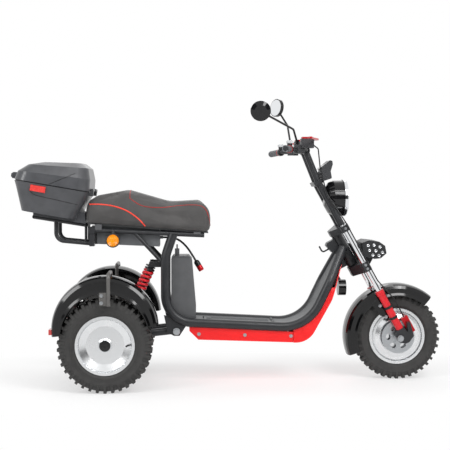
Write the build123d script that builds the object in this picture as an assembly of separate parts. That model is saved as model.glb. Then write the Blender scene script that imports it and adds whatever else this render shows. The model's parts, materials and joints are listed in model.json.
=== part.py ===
from build123d import *
from math import atan2, cos, radians, sin, tan
import os

# Electric trike in millimetres: +X forward, +Y to the left, +Z up, ground at Z = 0.

# Wheels
REAR_AXLE_X = -558
REAR_TYRE_R = 216
REAR_TYRE_W = 108
REAR_TRACK = 570
REAR_RIM_R = 135
FRONT_AXLE_X = 838
FRONT_TYRE_R = 209
FRONT_TYRE_W = 98
FRONT_RIM_R = 136
LUG_DEPTH = 6
LUG_WIDTH = 13
LUGS_PER_SIDE = 38
LUG_REACH = 32
BEAD_DEPTH = 13
FLANGE_T = 4
RIM_WALL = 6
HUB_R = 30
REAR_STUB_R = 12
FRONT_SPINDLE_R = 8
RUNNING_FIT = 0.05
SOFT_GAP = 0.3
WINDOW_COUNT = 5
DISC_R = 80
DISC_T = 4
DISC_Y = 64

# Steering axis and fork
RAKE = 29
AXLE_OFFSET = 18
LEG_OFFSET = 40
LEG_Y = 100
STANCHION_R = 14
LEG_R = 18
LEG_BOTTOM = 40
LEG_TOP = 250
LOWER_CLAMP = 359
LOWER_CLAMP_T = 46
UPPER_CLAMP = 577
UPPER_CLAMP_T = 30
CLAMP_BOSS = 8
STEM_R = 13
HEAD_R = 26
HEAD_GAP = 2
RISER_R = 15
RISER_SHARE = 0.62
YOKE_T = 20
YOKE_HALF = 72
RISER_Y = 50
BAR_R = 11
BAR_FORWARD = 60
BAR_HEIGHT = 1007
GRIP_FORWARD = -54
GRIP_HEIGHT = 1067
SWEEP_FORWARD = 35
SWEEP_DROP = 14
SWEEP_Y = 185
BAR_BEND = 40
GRIP_LENGTH = 131
BAR_END = 345
GRIP_R = 16

# Main frame
TUBE_R = 22
TUBE_Y = 115
UPRIGHT_X = -287
UPRIGHT_TOP_X = -250
UPRIGHT_BEND_Z = 608
FLOOR_REAR_Z = 298
FLOOR_FRONT_X = 390
FLOOR_FRONT_Z = 263
RISE_ANGLE = 64.4
RISE_BEND_Z = 477
NECK_Y = 42
NECK_Z = 641
REAR_BEND_R = 130
FRONT_BEND_R = 190
PIVOT_X = -235
PIVOT_Z = 251
PIVOT_R = 8
PLATE_T = 8

# Seat frame, seat and controller
RAIL_R = 11
RAIL_REAR_X = -636
RAIL_REAR_Z = 731
RAIL_FRONT_X = -103
RAIL_FRONT_Z = 707
STRUT_R = 9
CROSS_R = 8
STRUT_TOP_X = -435
STRUT_FOOT_Z = 562
SEAT_REAR_X = -663
SEAT_FRONT_X = -70
SEAT_HALF = 140
SEAT_PAN_T = 6
PAN_INSET = 14
NOSE_H = 148
DIP_X = -265
DIP_H = 122
HUMP_X = -462
HUMP_H = 164
TAIL_H = 112
PAN_REAR_Z = 761
PAN_FRONT_Z = 715
BOX_REAR_X = -612
BOX_FRONT_X = -315
BOX_HALF = 82
BOX_DROP = 65
BOX_GAP = 2
LEAD_Y = 40
LEAD_Z = 690
GLAND_R = 7
GLAND_LENGTH = 14

# Rear axle and suspension
BEAM_R = 30
ARM_R = 18
ARM_Y = 75
MOTOR_R = 92
MOTOR_HALF = 52
SHOCK_TOP_X = -353
SHOCK_TOP_Z = 566
SHOCK_FOOT_X = -481
SHOCK_FOOT_Z = 290
SPRING_R = 24
SPRING_COILS = 4
SPRING_PITCH = 22
DAMPER_R = 17
SPRING_WIRE = 8
EYE_R = 14
EYE_HALF = 11
LUG_PLATE_T = 5

# Fenders
FENDER_T = 3
REAR_FENDER_R = 243
REAR_FENDER_RISE = 74
REAR_FENDER_HALF = 66
REAR_SKIRT = 84
SKIRT_EDGE_R = 198
SKIRT_EDGE_RISE = 40
REAR_FENDER_FRONT = 4
REAR_FENDER_REAR = 187
STAY_R = 9
STAY_FORWARD = 20
STAY_PLATE_H = 60
STAY_Y = 366
STAY_GAP = 0.5
STAY_BEND = 24
STAY_FOOT_Z = 401
FRONT_FENDER_R = 257
FRONT_FENDER_HALF = 70
FRONT_SKIRT = 60
FRONT_FENDER_FRONT = 50
FRONT_FENDER_REAR = 201

# Floor
DECK_T = 14
DECK_LIFT = 3
DECK_REAR_X = -262
DECK_TOP_Z = 604
LID_REAR_X = -107
LID_FRONT_X = 242
LID_HALF = 66
LID_T = 9
LID_GAP = 5
HINGE_R = 3
KNUCKLE_R = 6
HINGE_LIFT = 3
PAN_T = 4
PAN_HALF = 118
PAN_REAR_X = -174
PAN_CHAMFER = 42
PAN_BOTTOM_REAR = 210
PAN_BOTTOM_FRONT = 194
PAN_SEAM_X = 322
SEAM_GAP = 2
PANEL_TOP_Z = 575
PANEL_CORNER_X = 394
PANEL_CORNER_Z = 192
PANEL_BEND_R = 100
PANEL_KNEE_X = 508
PANEL_KNEE_Z = 396
PANEL_KNEE_R = 150
PACK_REAR_X = -110
PACK_FRONT_X = 262
PACK_HALF = 98
PACK_H = 50

# Battery box on the floor
POST_REAR_X = -260
POST_TOP_FRONT_X = -161
POST_FRONT_X = -142
POST_TOP_Z = 598
POST_HALF = 88
POST_CAP_T = 8
POST_KNEE = 225
KNOB_X = -232
KNOB_Y = -40
KNOB_R = 11

# Rack and top case
RACK_R = 9.5
RACK_Y = 75
RACK_POST_X = -805
RACK_LOW_Z = 672
RACK_TOP_Z = 776
CARRIER_FRONT_X = -664
CARRIER_FRONT_Z = 755
CARRIER_REAR_X = -908
CARRIER_REAR_Z = 794
CASE_TILT = 9.7
CASE_X = -815
CASE_Z = 941
CASE_LENGTH = 352
CASE_WIDTH = 392
CASE_WALL = 4
CASE_DEPTH = 138
CASE_HEIGHT = 115
CASE_SEAM = 5
CASE_HINGE_R = 3
CASE_KNUCKLE_R = 7
HINGE_STANDOFF = 2
HANDLE_REACH = 37

# Lamps and controls
HEADLIGHT_R = 89
HEADLIGHT_Z = 883
HEADLIGHT_BACK = 500
HEADLIGHT_FRONT = 584
LENS_BULGE = 16
LENS_EDGE = 4
LIGHT_BAR_X = 705
LIGHT_BAR_Z = 634
LIGHT_BAR_LENGTH = 146
LIGHT_BAR_HEIGHT = 90
LIGHT_BAR_HALF = 95
FIN_COUNT = 9
SIGNAL_X = -532
SIGNAL_Z = 684
SIGNAL_Y = 128
SIGNAL_R = 33
SIGNAL_LENS_R = 28
HORN_R = 39
HORN_T = 37
DASH_FORWARD = 103
DASH_DROP = 100
DASH_HALF = 58
LEVER_REACH = 113
LEVER_T = 8
HOSE_R = 3
MIRROR_R = 46
MIRROR_T = 18
CORD_R = 5
LEAD_ROUTE = [(-269, 40, 690), (-236, 38, 684), (-207, 36, 666),
              (-180, 33, 637), (-159, 30, 605), (-142, 27, 577)]
CONNECTOR_R = 14
CONNECTOR_LENGTH = 58

NODES = {}
BASE = (Align.CENTER, Align.CENTER, Align.MIN)
REAR_AXLE = Vector(REAR_AXLE_X, 0, REAR_TYRE_R)
FRONT_AXLE = Vector(FRONT_AXLE_X, 0, FRONT_TYRE_R)
RAKE_COS = cos(radians(RAKE))
RAKE_SIN = sin(radians(RAKE))
STEER_ORIGIN = FRONT_AXLE - Vector(RAKE_COS, 0, RAKE_SIN) * AXLE_OFFSET
STEER = Plane(origin=STEER_ORIGIN, x_dir=(RAKE_COS, 0, RAKE_SIN), z_dir=(-RAKE_SIN, 0, RAKE_COS))


def keep(name, *solids):
    """Names a sub-part and holds its solids."""
    NODES[name] = Compound(children=[s for piece in solids for s in piece.solids()])
    return NODES[name]


def steer(forward, left, height):
    """A point given beside the steering axis, as a point of the trike."""
    return STEER.from_local_coords(Vector(forward, left, height))


def bar(start, end, radius):
    """A round bar between two points."""
    start, end = Vector(start), Vector(end)
    return Plane(origin=start, z_dir=end - start) * Cylinder(radius, (end - start).length, align=BASE)


def cross_bar(x, z, y0, y1, radius):
    """A round bar along Y."""
    return bar((x, y0, z), (x, y1, z), radius)


def bent_tube(points, bends, radius):
    """A round tube along straight runs with a bend radius at each corner."""
    path = FilletPolyline(*points, radius=bends)
    return sweep(Plane(origin=path @ 0, z_dir=path % 0) * Circle(radius), path=path)


def side_plate(points, y0, y1):
    """A flat shape drawn in side view (X, Z), from y0 to y1."""
    outline = Polyline(*[(x, y0, z) for x, z in points], close=True)
    return extrude(make_face(outline), amount=y1 - y0, dir=(0, 1, 0))


def rounded_side(points, bends, y0, y1):
    """The same with a bend radius at each corner."""
    outline = FilletPolyline(*[(x, y0, z) for x, z in points], radius=bends, close=True)
    return extrude(make_face(outline), amount=y1 - y0, dir=(0, 1, 0))


def steer_plate(points, y0, y1):
    """A flat shape drawn beside the steering axis (forward, height), from y0 to y1."""
    corners = [steer(forward, y0, height) for forward, height in points]
    return extrude(make_face(Polyline(*corners, close=True)), amount=y1 - y0, dir=(0, 1, 0))


def block(x0, x1, y0, y1, z0, z1):
    """A box between two corners."""
    return Pos((x0 + x1) / 2, (y0 + y1) / 2, (z0 + z1) / 2) * Box(x1 - x0, y1 - y0, z1 - z0)


def turned(points, arc=360):
    """A ring about the Y axis from (radius, y) points."""
    section = make_face(Polyline(*[(r, y, 0) for r, y in points], close=True))
    return revolve(section, axis=Axis.Y, revolution_arc=arc)


def left_of(piece):
    """The same piece on the left side."""
    return mirror(piece, about=Plane.XZ)


def pair(piece):
    """A right-hand piece with its left-hand twin."""
    return [piece, left_of(piece)]


def biggest(shape):
    """The largest solid of a cut shape."""
    return max(shape.solids(), key=lambda solid: solid.volume)


# Tyres with two staggered rows of shoulder lugs

def tyre(radius, width, rim_r):
    half = width / 2
    crown = radius - LUG_DEPTH
    bead = half - BEAD_DEPTH
    side = [
        (rim_r - BEAD_DEPTH, bead),
        (rim_r + 1, bead),
        (rim_r + 12, half - 5),
        ((rim_r + crown) / 2 + 6, half - 1),
        (crown - 10, half - 7),
        (crown, half * 0.45),
    ]
    casing = turned(side + [(r, -y) for r, y in reversed(side)])
    lug_face = make_face(Polyline(
        (crown - LUG_REACH, half - 4, -LUG_WIDTH / 2),
        (crown - LUG_REACH + 4, half, -LUG_WIDTH / 2),
        (radius - 4, half - 3, -LUG_WIDTH / 2),
        (radius, half - 10, -LUG_WIDTH / 2),
        (radius, 9, -LUG_WIDTH / 2),
        (crown - 14, 9, -LUG_WIDTH / 2),
        close=True))
    lug = extrude(lug_face, amount=LUG_WIDTH, dir=(0, 0, 1))
    pitch = 360 / LUGS_PER_SIDE
    lugs = [Rot(0, pitch * i, 0) * lug for i in range(LUGS_PER_SIDE)]
    lugs += [Rot(0, pitch * (i + 0.5), 0) * left_of(lug) for i in range(LUGS_PER_SIDE)]
    return casing + lugs


# Rims: a barrel with two flanges and a dished outer face

def rim(width, rim_r, bore_r, hub_outer, hub_inner, closed_hub):
    seat = rim_r - BEAD_DEPTH - SOFT_GAP
    lip = width / 2 - BEAD_DEPTH + SOFT_GAP
    well = seat - RIM_WALL
    face = hub_outer - 16
    hub_end = [(0, hub_outer), (0, hub_outer - 4), (bore_r, hub_outer - 4)]
    if not closed_hub:
        hub_end = [(bore_r, hub_outer)]
    outline = [
        (seat, -lip),
        (rim_r, -lip),
        (rim_r, -lip - FLANGE_T),
        (seat, -lip - FLANGE_T),
        (well, -lip),
        (well, face - 10),
        (HUB_R + 4, face - RIM_WALL),
        (HUB_R, hub_inner),
        (bore_r, hub_inner),
        *reversed(hub_end),
        (HUB_R - 6, hub_outer),
        (HUB_R + 2, face),
        (rim_r - 48, face),
        (seat - 4, lip - 6),
        (seat, lip + FLANGE_T),
        (rim_r, lip + FLANGE_T),
        (rim_r, lip),
        (seat, lip),
    ]
    return turned([(r, -y) for r, y in outline])


half_track = REAR_TRACK / 2
rear_rim = rim(REAR_TYRE_W, REAR_RIM_R, REAR_STUB_R + RUNNING_FIT, 38, -46, True)
rear_right = Pos(REAR_AXLE.X, -half_track, REAR_AXLE.Z)
rear_tyre = tyre(REAR_TYRE_R, REAR_TYRE_W, REAR_RIM_R)
keep("rear_tyre_right", rear_right * rear_tyre)
keep("rear_tyre_left", left_of(rear_right * rear_tyre))
keep("rear_rim_right", rear_right * rear_rim)
keep("rear_rim_left", left_of(rear_right * rear_rim))

# Front rim with windows in its face, and the brake disc on its right side
front_hub = DISC_Y - DISC_T / 2
front_rim = rim(FRONT_TYRE_W, FRONT_RIM_R, FRONT_SPINDLE_R + RUNNING_FIT, front_hub, -44, False)
window_r = DISC_R + 14
window = Pos(window_r, 0, 0) * Rot(90, 0, 0) * extrude(SlotOverall(48, 28, rotation=90), FRONT_TYRE_W,
                                                       both=True)
for i in range(WINDOW_COUNT):
    front_rim = front_rim - Rot(0, 360 / WINDOW_COUNT * i + 30, 0) * window
front_place = Pos(*FRONT_AXLE)
disc = turned([(FRONT_SPINDLE_R + RUNNING_FIT, -front_hub),
               (FRONT_SPINDLE_R + RUNNING_FIT, -front_hub - DISC_T),
               (DISC_R, -front_hub - DISC_T), (DISC_R, -front_hub)])
disc_window = Pos(DISC_R * 0.6, 0, 0) * Rot(90, 0, 0) * extrude(SlotOverall(30, 22, rotation=90),
                                                                2 * DISC_Y, both=True)
for i in range(6):
    disc = disc - Rot(0, 60 * i, 0) * disc_window
keep("front_tyre", front_place * tyre(FRONT_TYRE_R, FRONT_TYRE_W, FRONT_RIM_R))
keep("front_rim", front_place * front_rim)
keep("brake_disc", front_place * disc)

# Main frame: two bent tubes, head tube, gussets and the swing arm plates
floor_slope = (FLOOR_FRONT_Z - FLOOR_REAR_Z) / (FLOOR_FRONT_X - UPRIGHT_X)
rise_run = 1 / tan(radians(RISE_ANGLE))


def floor_z(x):
    """Height of the floor tubes' centre line."""
    return FLOOR_REAR_Z + (x - UPRIGHT_X) * floor_slope


def rise_x(z):
    """Place of the rising tubes' centre line at a height."""
    return FLOOR_FRONT_X + (z - FLOOR_FRONT_Z) * rise_run


def rail_z(x):
    """Height of the seat rails' centre line."""
    return RAIL_REAR_Z + (x - RAIL_REAR_X) * (RAIL_FRONT_Z - RAIL_REAR_Z) / (RAIL_FRONT_X - RAIL_REAR_X)


tube_path = [
    (UPRIGHT_TOP_X, -TUBE_Y, rail_z(UPRIGHT_TOP_X)),
    (UPRIGHT_X, -TUBE_Y, UPRIGHT_BEND_Z),
    (UPRIGHT_X, -TUBE_Y, FLOOR_REAR_Z),
    (FLOOR_FRONT_X, -TUBE_Y, FLOOR_FRONT_Z),
    (rise_x(RISE_BEND_Z), -TUBE_Y, RISE_BEND_Z),
    (rise_x(NECK_Z), -NECK_Y, NECK_Z),
]
frame_tube = bent_tube(tube_path, [150, REAR_BEND_R, FRONT_BEND_R, 120], TUBE_R)
head_low = LOWER_CLAMP + LOWER_CLAMP_T + HEAD_GAP
head_high = UPPER_CLAMP - HEAD_GAP
head_tube = bar(steer(0, 0, head_low), steer(0, 0, head_high), HEAD_R)
head_bore = bar(steer(0, 0, head_low - 1), steer(0, 0, head_high + 1), STEM_R + RUNNING_FIT)
neck_gusset = steer_plate([(0, head_low + 8), (0, head_high - 70), (-36, head_high - 96),
                           (-112, head_low + 12)], -4, 4)
pivot_plate = side_plate(
    [(UPRIGHT_X - 8, FLOOR_REAR_Z + 30), (UPRIGHT_X + 10, PIVOT_Z - 6), (PIVOT_X - 12, PIVOT_Z - 22),
     (PIVOT_X + 14, PIVOT_Z - 22), (PIVOT_X + 60, FLOOR_REAR_Z)],
    -TUBE_Y - PLATE_T / 2, -TUBE_Y + PLATE_T / 2)
pivot_reach = TUBE_Y + PLATE_T / 2 + 6
pivot_pin = cross_bar(PIVOT_X, PIVOT_Z, -pivot_reach, pivot_reach, PIVOT_R)
shock_bar = cross_bar(UPRIGHT_X, SHOCK_TOP_Z, -TUBE_Y, TUBE_Y, 14)
shock_tabs = []
for y in (ARM_Y - EYE_HALF - LUG_PLATE_T, ARM_Y + EYE_HALF):
    tab = side_plate([(UPRIGHT_X, SHOCK_TOP_Z + 12), (SHOCK_TOP_X - 12, SHOCK_TOP_Z + 12),
                      (SHOCK_TOP_X - 12, SHOCK_TOP_Z - 12), (UPRIGHT_X, SHOCK_TOP_Z - 12)],
                      -y - LUG_PLATE_T, -y)
    shock_tabs += pair(tab)
shock_top_bolt = cross_bar(SHOCK_TOP_X, SHOCK_TOP_Z, -ARM_Y - 20, -ARM_Y + 20, 5)
main_frame = head_tube + pair(frame_tube) + neck_gusset + pair(pivot_plate) + pivot_pin
main_frame = main_frame + shock_bar + shock_tabs + pair(shock_top_bolt) - head_bore

# Seat frame: two rails, struts and cross bars
rail = bar((RAIL_REAR_X, -TUBE_Y, RAIL_REAR_Z), (RAIL_FRONT_X, -TUBE_Y, RAIL_FRONT_Z), RAIL_R)
strut = bar((STRUT_TOP_X, -TUBE_Y, rail_z(STRUT_TOP_X)), (UPRIGHT_X, -TUBE_Y, STRUT_FOOT_Z), STRUT_R)
rail_ends = [cross_bar(x, rail_z(x), -TUBE_Y, TUBE_Y, CROSS_R) for x in (RAIL_REAR_X + 14,
                                                                         RAIL_FRONT_X - 14)]
upper_frame = rail + left_of(rail) + rail_ends
main_frame = biggest(main_frame - upper_frame)
strut = biggest(strut - frame_tube)
seat_frame = upper_frame + pair(strut)
keep("main_frame", main_frame)
keep("seat_frame", seat_frame)

# Swing arms, axle beam and the drive motor round it
arm = bar((PIVOT_X, -ARM_Y, PIVOT_Z), (REAR_AXLE_X, -ARM_Y, REAR_AXLE.Z), ARM_R)
arm_eye = cross_bar(PIVOT_X, PIVOT_Z, -ARM_Y - 22, -ARM_Y + 22, ARM_R + 4)
beam_end = half_track - 48
beam = cross_bar(REAR_AXLE_X, REAR_AXLE.Z, -beam_end, beam_end, BEAM_R)
stub_end = half_track + 32
stub = cross_bar(REAR_AXLE_X, REAR_AXLE.Z, -stub_end, stub_end, REAR_STUB_R)
foot_tabs = []
for y in (ARM_Y - EYE_HALF - LUG_PLATE_T, ARM_Y + EYE_HALF):
    foot = side_plate([(SHOCK_FOOT_X - 30, REAR_AXLE.Z + 10), (SHOCK_FOOT_X + 30, REAR_AXLE.Z + 10),
                       (SHOCK_FOOT_X + 13, SHOCK_FOOT_Z + 13), (SHOCK_FOOT_X - 13, SHOCK_FOOT_Z + 13)],
                      -y - LUG_PLATE_T, -y)
    foot_tabs += pair(foot)
foot_bolt = cross_bar(SHOCK_FOOT_X, SHOCK_FOOT_Z, -ARM_Y - 20, -ARM_Y + 20, 5)
axle_beam = beam + stub + pair(arm) + pair(arm_eye) + foot_tabs + pair(foot_bolt) - pivot_pin
keep("axle_beam", axle_beam)
motor_round = cross_bar(REAR_AXLE_X, REAR_AXLE.Z, -MOTOR_HALF, MOTOR_HALF, MOTOR_R)
keep("drive_motor", motor_round - beam)

# Rear shocks: a damper with eyes, and a short spring on a collar above it
shock_top = Vector(SHOCK_TOP_X, -ARM_Y, SHOCK_TOP_Z)
shock_foot = Vector(SHOCK_FOOT_X, -ARM_Y, SHOCK_FOOT_Z)
shock_length = (shock_top - shock_foot).length
spring_top = shock_length - EYE_R - 12
spring_low = spring_top - SPRING_COILS * SPRING_PITCH
shock_profile = [(0, EYE_R - 4), (DAMPER_R, EYE_R - 4), (DAMPER_R, spring_low - 14),
                 (SPRING_R + 5, spring_low - 10),
                 (SPRING_R + 5, spring_low)]
for i in range(SPRING_COILS):
    low = spring_low + SPRING_PITCH * i
    shock_profile += [(SPRING_R - SPRING_WIRE, low + 1), (SPRING_R, low + SPRING_PITCH * 0.3),
                      (SPRING_R, low + SPRING_PITCH * 0.7)]
shock_profile += [(SPRING_R - SPRING_WIRE, spring_top - 1), (SPRING_R, spring_top),
                  (SPRING_R, spring_top + 6),
                  (EYE_R - 4, spring_top + 8), (EYE_R - 4, shock_length - EYE_R + 4),
                  (0, shock_length - EYE_R + 4)]
shock_body = revolve(make_face(Polyline(*[(r, 0, h) for r, h in shock_profile], close=True)), axis=Axis.Z)
shock_frame = Plane(origin=shock_foot, x_dir=(0, 1, 0), z_dir=shock_top - shock_foot)
shock = shock_frame * shock_body
for eye in (shock_top, shock_foot):
    shock = shock + cross_bar(eye.X, eye.Z, -ARM_Y - EYE_HALF, -ARM_Y + EYE_HALF, EYE_R)
shock = shock - main_frame - axle_beam
keep("rear_shock_right", shock)
keep("rear_shock_left", left_of(shock))

# Rear fenders with their stays


def fender(radius, half, skirt, from_angle, to_angle):
    """A rounded channel about the Y axis; angles run from +X over the top."""
    side = [(radius - skirt, half), (radius - 22, half), (radius - 9, half * 0.9),
            (radius - 3, half * 0.65), (radius, half * 0.25)]
    wall = [(r - FENDER_T, y) for r, y in side[2:]]
    under = [(radius - skirt, half - FENDER_T), (radius - 23, half - FENDER_T)] + wall
    outer = [(r, -y) for r, y in side] + side[::-1]
    under = under + [(r, -y) for r, y in reversed(under)]
    return Rot(0, -from_angle, 0) * turned(outer + under, from_angle - to_angle)


fender_z = REAR_AXLE.Z + REAR_FENDER_RISE
fender_right = Pos(REAR_AXLE_X, -half_track, fender_z) * fender(
    REAR_FENDER_R, REAR_FENDER_HALF, REAR_SKIRT, REAR_FENDER_FRONT, REAR_FENDER_REAR)
skirt_edge = cross_bar(REAR_AXLE_X, REAR_AXLE.Z + SKIRT_EDGE_RISE, -REAR_TRACK, 0, SKIRT_EDGE_R)
fender_right = biggest(fender_right - skirt_edge)
stay_x = REAR_AXLE_X + STAY_FORWARD
stay_top = fender_z + REAR_FENDER_R + STAY_R + STAY_GAP
stay_inner = half_track - REAR_FENDER_HALF - STAY_R - STAY_GAP
stay = bent_tube(
    [(stay_x, -STAY_Y, STAY_FOOT_Z), (stay_x, -STAY_Y, stay_top),
     (stay_x, -stay_inner, stay_top), (stay_x, -stay_inner, REAR_AXLE.Z)],
    [STAY_BEND, STAY_BEND], STAY_R)
stay_plate = block(stay_x - 42, stay_x + 5, -STAY_Y, -half_track - REAR_FENDER_HALF,
                   STAY_FOOT_Z + 1, STAY_FOOT_Z + STAY_PLATE_H)
stay = stay + stay_plate - axle_beam
keep("rear_fender_right", fender_right)
keep("rear_fender_left", left_of(fender_right))
keep("fender_stay_right", biggest(stay))
keep("fender_stay_left", left_of(biggest(stay)))

# Floor: a bent board between the tubes, with a hinged lid over the battery pack


def shifted(points, distance):
    """Side view points of a bent line, moved square to the line (upwards when positive)."""
    moved = []
    for i, (x, z) in enumerate(points):
        before = points[max(i - 1, 0)]
        after = points[min(i + 1, len(points) - 1)]
        into = atan2(z - before[1], x - before[0]) if i else atan2(after[1] - z, after[0] - x)
        out = atan2(after[1] - z, after[0] - x) if i < len(points) - 1 else into
        reach = distance / cos((out - into) / 2)
        square = (into + out) / 2 + radians(90)
        moved.append((x + reach * cos(square), z + reach * sin(square)))
    return moved


def floor_line(start_x, top_z, lift):
    """Three side view points of the floor and its rise, lifted off the tubes' centre line."""
    line = [(start_x, floor_z(start_x)), (FLOOR_FRONT_X, FLOOR_FRONT_Z), (rise_x(top_z), top_z)]
    return shifted(line, lift)


deck_path = FilletPolyline(*[(x, 0, z) for x, z in floor_line(DECK_REAR_X, DECK_TOP_Z, DECK_LIFT)],
                           radius=FRONT_BEND_R - DECK_LIFT)
deck_section = Plane(origin=deck_path @ 0, x_dir=(0, 1, 0),
                     z_dir=deck_path % 0) * Rectangle(2 * TUBE_Y - TUBE_R, DECK_T)
deck_board = biggest(sweep(deck_section, path=deck_path) - main_frame)
floor_tilt = atan2(-floor_slope, 1)


def deck_z(x):
    """Height of the deck board's top."""
    return floor_z(x) + (DECK_LIFT + DECK_T / 2) / cos(floor_tilt)


LID = Plane(origin=(LID_FRONT_X, 0, deck_z(LID_FRONT_X)), x_dir=(cos(floor_tilt), 0, -sin(floor_tilt)),
            z_dir=(sin(floor_tilt), 0, cos(floor_tilt)))
lid_length = LID_FRONT_X - LID_REAR_X
lid_hole = LID * block(-lid_length, 0, -LID_HALF, LID_HALF, -60, 30)
hinge_x = -LID_GAP - KNUCKLE_R
lid_plate = block(-lid_length + LID_GAP, -LID_GAP, -LID_HALF + LID_GAP, LID_HALF - LID_GAP, -LID_T, 0)
knuckle_end = LID_HALF - LID_GAP
lid_knuckle = cross_bar(hinge_x, HINGE_LIFT, 16, knuckle_end - 12, KNUCKLE_R)
pin_bore = cross_bar(hinge_x, HINGE_LIFT, -LID_HALF, LID_HALF, HINGE_R + RUNNING_FIT)
latch = block(-lid_length + 16, -lid_length + 40, -14, 14, -1, 4)
deck_lid = lid_plate + lid_knuckle + left_of(lid_knuckle) + latch - pin_bore
hinge_slot = block(hinge_x - KNUCKLE_R - 1, hinge_x + KNUCKLE_R + 1, knuckle_end - 7, LID_HALF, -LID_T - 1,
                   1)
deck_lid = deck_lid - hinge_slot - left_of(hinge_slot)
pin = cross_bar(hinge_x, HINGE_LIFT, -LID_HALF, LID_HALF, HINGE_R)
pin_block = cross_bar(hinge_x, HINGE_LIFT, knuckle_end - 2, LID_HALF + 4, KNUCKLE_R)
deck_board = deck_board - lid_hole + LID * (pin + pin_block + left_of(pin_block))
keep("deck_board", deck_board)
keep("deck_lid", LID * deck_lid)

# Belly pan and front panel: folded sheet under the tubes
pan_line = [(PAN_REAR_X, floor_z(PAN_REAR_X) - TUBE_R), (PAN_REAR_X, PAN_BOTTOM_REAR + PAN_CHAMFER),
            (PAN_REAR_X + PAN_CHAMFER, PAN_BOTTOM_REAR), (PAN_SEAM_X - SEAM_GAP, PAN_BOTTOM_FRONT),
            (PAN_SEAM_X - SEAM_GAP, floor_z(PAN_SEAM_X) - TUBE_R)]
pan_inner = [(pan_line[0][0] + PAN_T, pan_line[0][1] + 1),
             (PAN_REAR_X + PAN_T, pan_line[1][1] + PAN_T * 0.4),
             (pan_line[2][0] + PAN_T * 0.4, PAN_BOTTOM_REAR + PAN_T),
             (pan_line[3][0] + 1, PAN_BOTTOM_FRONT + PAN_T),
             (pan_line[4][0] + 1, pan_line[4][1] + 1)]
belly_pan = side_plate(pan_line, -PAN_HALF, PAN_HALF) - side_plate(pan_inner, -PAN_HALF + PAN_T,
                                                                   PAN_HALF - PAN_T)
keep("belly_pan", belly_pan - main_frame)
panel_start = PAN_SEAM_X - FRONT_BEND_R
tube_edge = floor_line(panel_start, PANEL_TOP_Z, -TUBE_R)
panel_foot = (panel_start, PAN_BOTTOM_FRONT)
panel_corner = (PANEL_CORNER_X, PANEL_CORNER_Z)
panel_knee = (PANEL_KNEE_X, PANEL_KNEE_Z)
edge_bend = FRONT_BEND_R + TUBE_R
front_panel = rounded_side([panel_foot, panel_corner, panel_knee, tube_edge[2], tube_edge[1], tube_edge[0]],
                           [0, PANEL_BEND_R, PANEL_KNEE_R, 0, edge_bend, 0], -PAN_HALF, PAN_HALF)
sheet_edge = shifted([panel_foot, panel_corner, panel_knee, tube_edge[2]], PAN_T)
panel_room = rounded_side([*sheet_edge, tube_edge[1], tube_edge[0]],
                          [0, PANEL_BEND_R - PAN_T, PANEL_KNEE_R - PAN_T, 0, edge_bend, 0],
                          -PAN_HALF + PAN_T, PAN_HALF - PAN_T)
behind_seam = block(panel_start - 1, PAN_SEAM_X, -PAN_HALF - 1, PAN_HALF + 1, 0, NECK_Z)
front_panel = front_panel - panel_room - behind_seam
front_view = make_face(Polyline(
    (0, -PAN_HALF - 1, 100), (0, -PAN_HALF - 1, RISE_BEND_Z - 40), (0, -NECK_Y - TUBE_R, NECK_Z),
    (0, NECK_Y + TUBE_R, NECK_Z),
    (0, PAN_HALF + 1, RISE_BEND_Z - 40), (0, PAN_HALF + 1, 100), close=True))
front_panel = front_panel & extrude(front_view, amount=FRONT_AXLE_X, dir=(1, 0, 0))
keep("front_panel", biggest(front_panel - main_frame))
pack_floor = max(PAN_BOTTOM_REAR, PAN_BOTTOM_FRONT) + PAN_T
battery_pack = side_plate(
    [(PACK_REAR_X, pack_floor + PACK_H), (PACK_REAR_X, pack_floor - 14), (PACK_FRONT_X, pack_floor - 14),
     (PACK_FRONT_X, pack_floor + PACK_H - 10)], -PACK_HALF, PACK_HALF)
keep("battery_pack", biggest(battery_pack - NODES["belly_pan"]))

# Battery box standing on the floor, with a cap
post_foot = [(x, deck_z(x)) for x in (POST_REAR_X, POST_FRONT_X)]
battery_box = rounded_side(
    [post_foot[0], post_foot[1], (POST_FRONT_X, POST_TOP_Z - POST_KNEE),
     (POST_TOP_FRONT_X, POST_TOP_Z), (POST_REAR_X, POST_TOP_Z)],
    [6, 6, 60, 14, 10], -POST_HALF, POST_HALF)
box_cap = rounded_side(
    [(POST_REAR_X + 6, POST_TOP_Z), (POST_TOP_FRONT_X - 8, POST_TOP_Z),
     (POST_TOP_FRONT_X - 12, POST_TOP_Z + POST_CAP_T),
     (POST_REAR_X + 10, POST_TOP_Z + POST_CAP_T)], [0, 0, 3, 3], -POST_HALF + 6, POST_HALF - 6)
box_lid_top = POST_TOP_Z + POST_CAP_T
knob = bar((KNOB_X, KNOB_Y, box_lid_top - 1), (KNOB_X, KNOB_Y, box_lid_top + 34), KNOB_R)
knob = knob + bar((KNOB_X, KNOB_Y, box_lid_top + 33), (KNOB_X, KNOB_Y, box_lid_top + 54), KNOB_R / 3)
battery_box = battery_box + box_cap + knob - main_frame
keep("battery_box", biggest(battery_box))

# Controller box hung between the rails, up to the seat pan


def pan_z(x):
    """Height of the seat pan's underside."""
    return PAN_REAR_Z + (x - SEAT_REAR_X) * (PAN_FRONT_Z - PAN_REAR_Z) / (SEAT_FRONT_X - SEAT_REAR_X)


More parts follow.
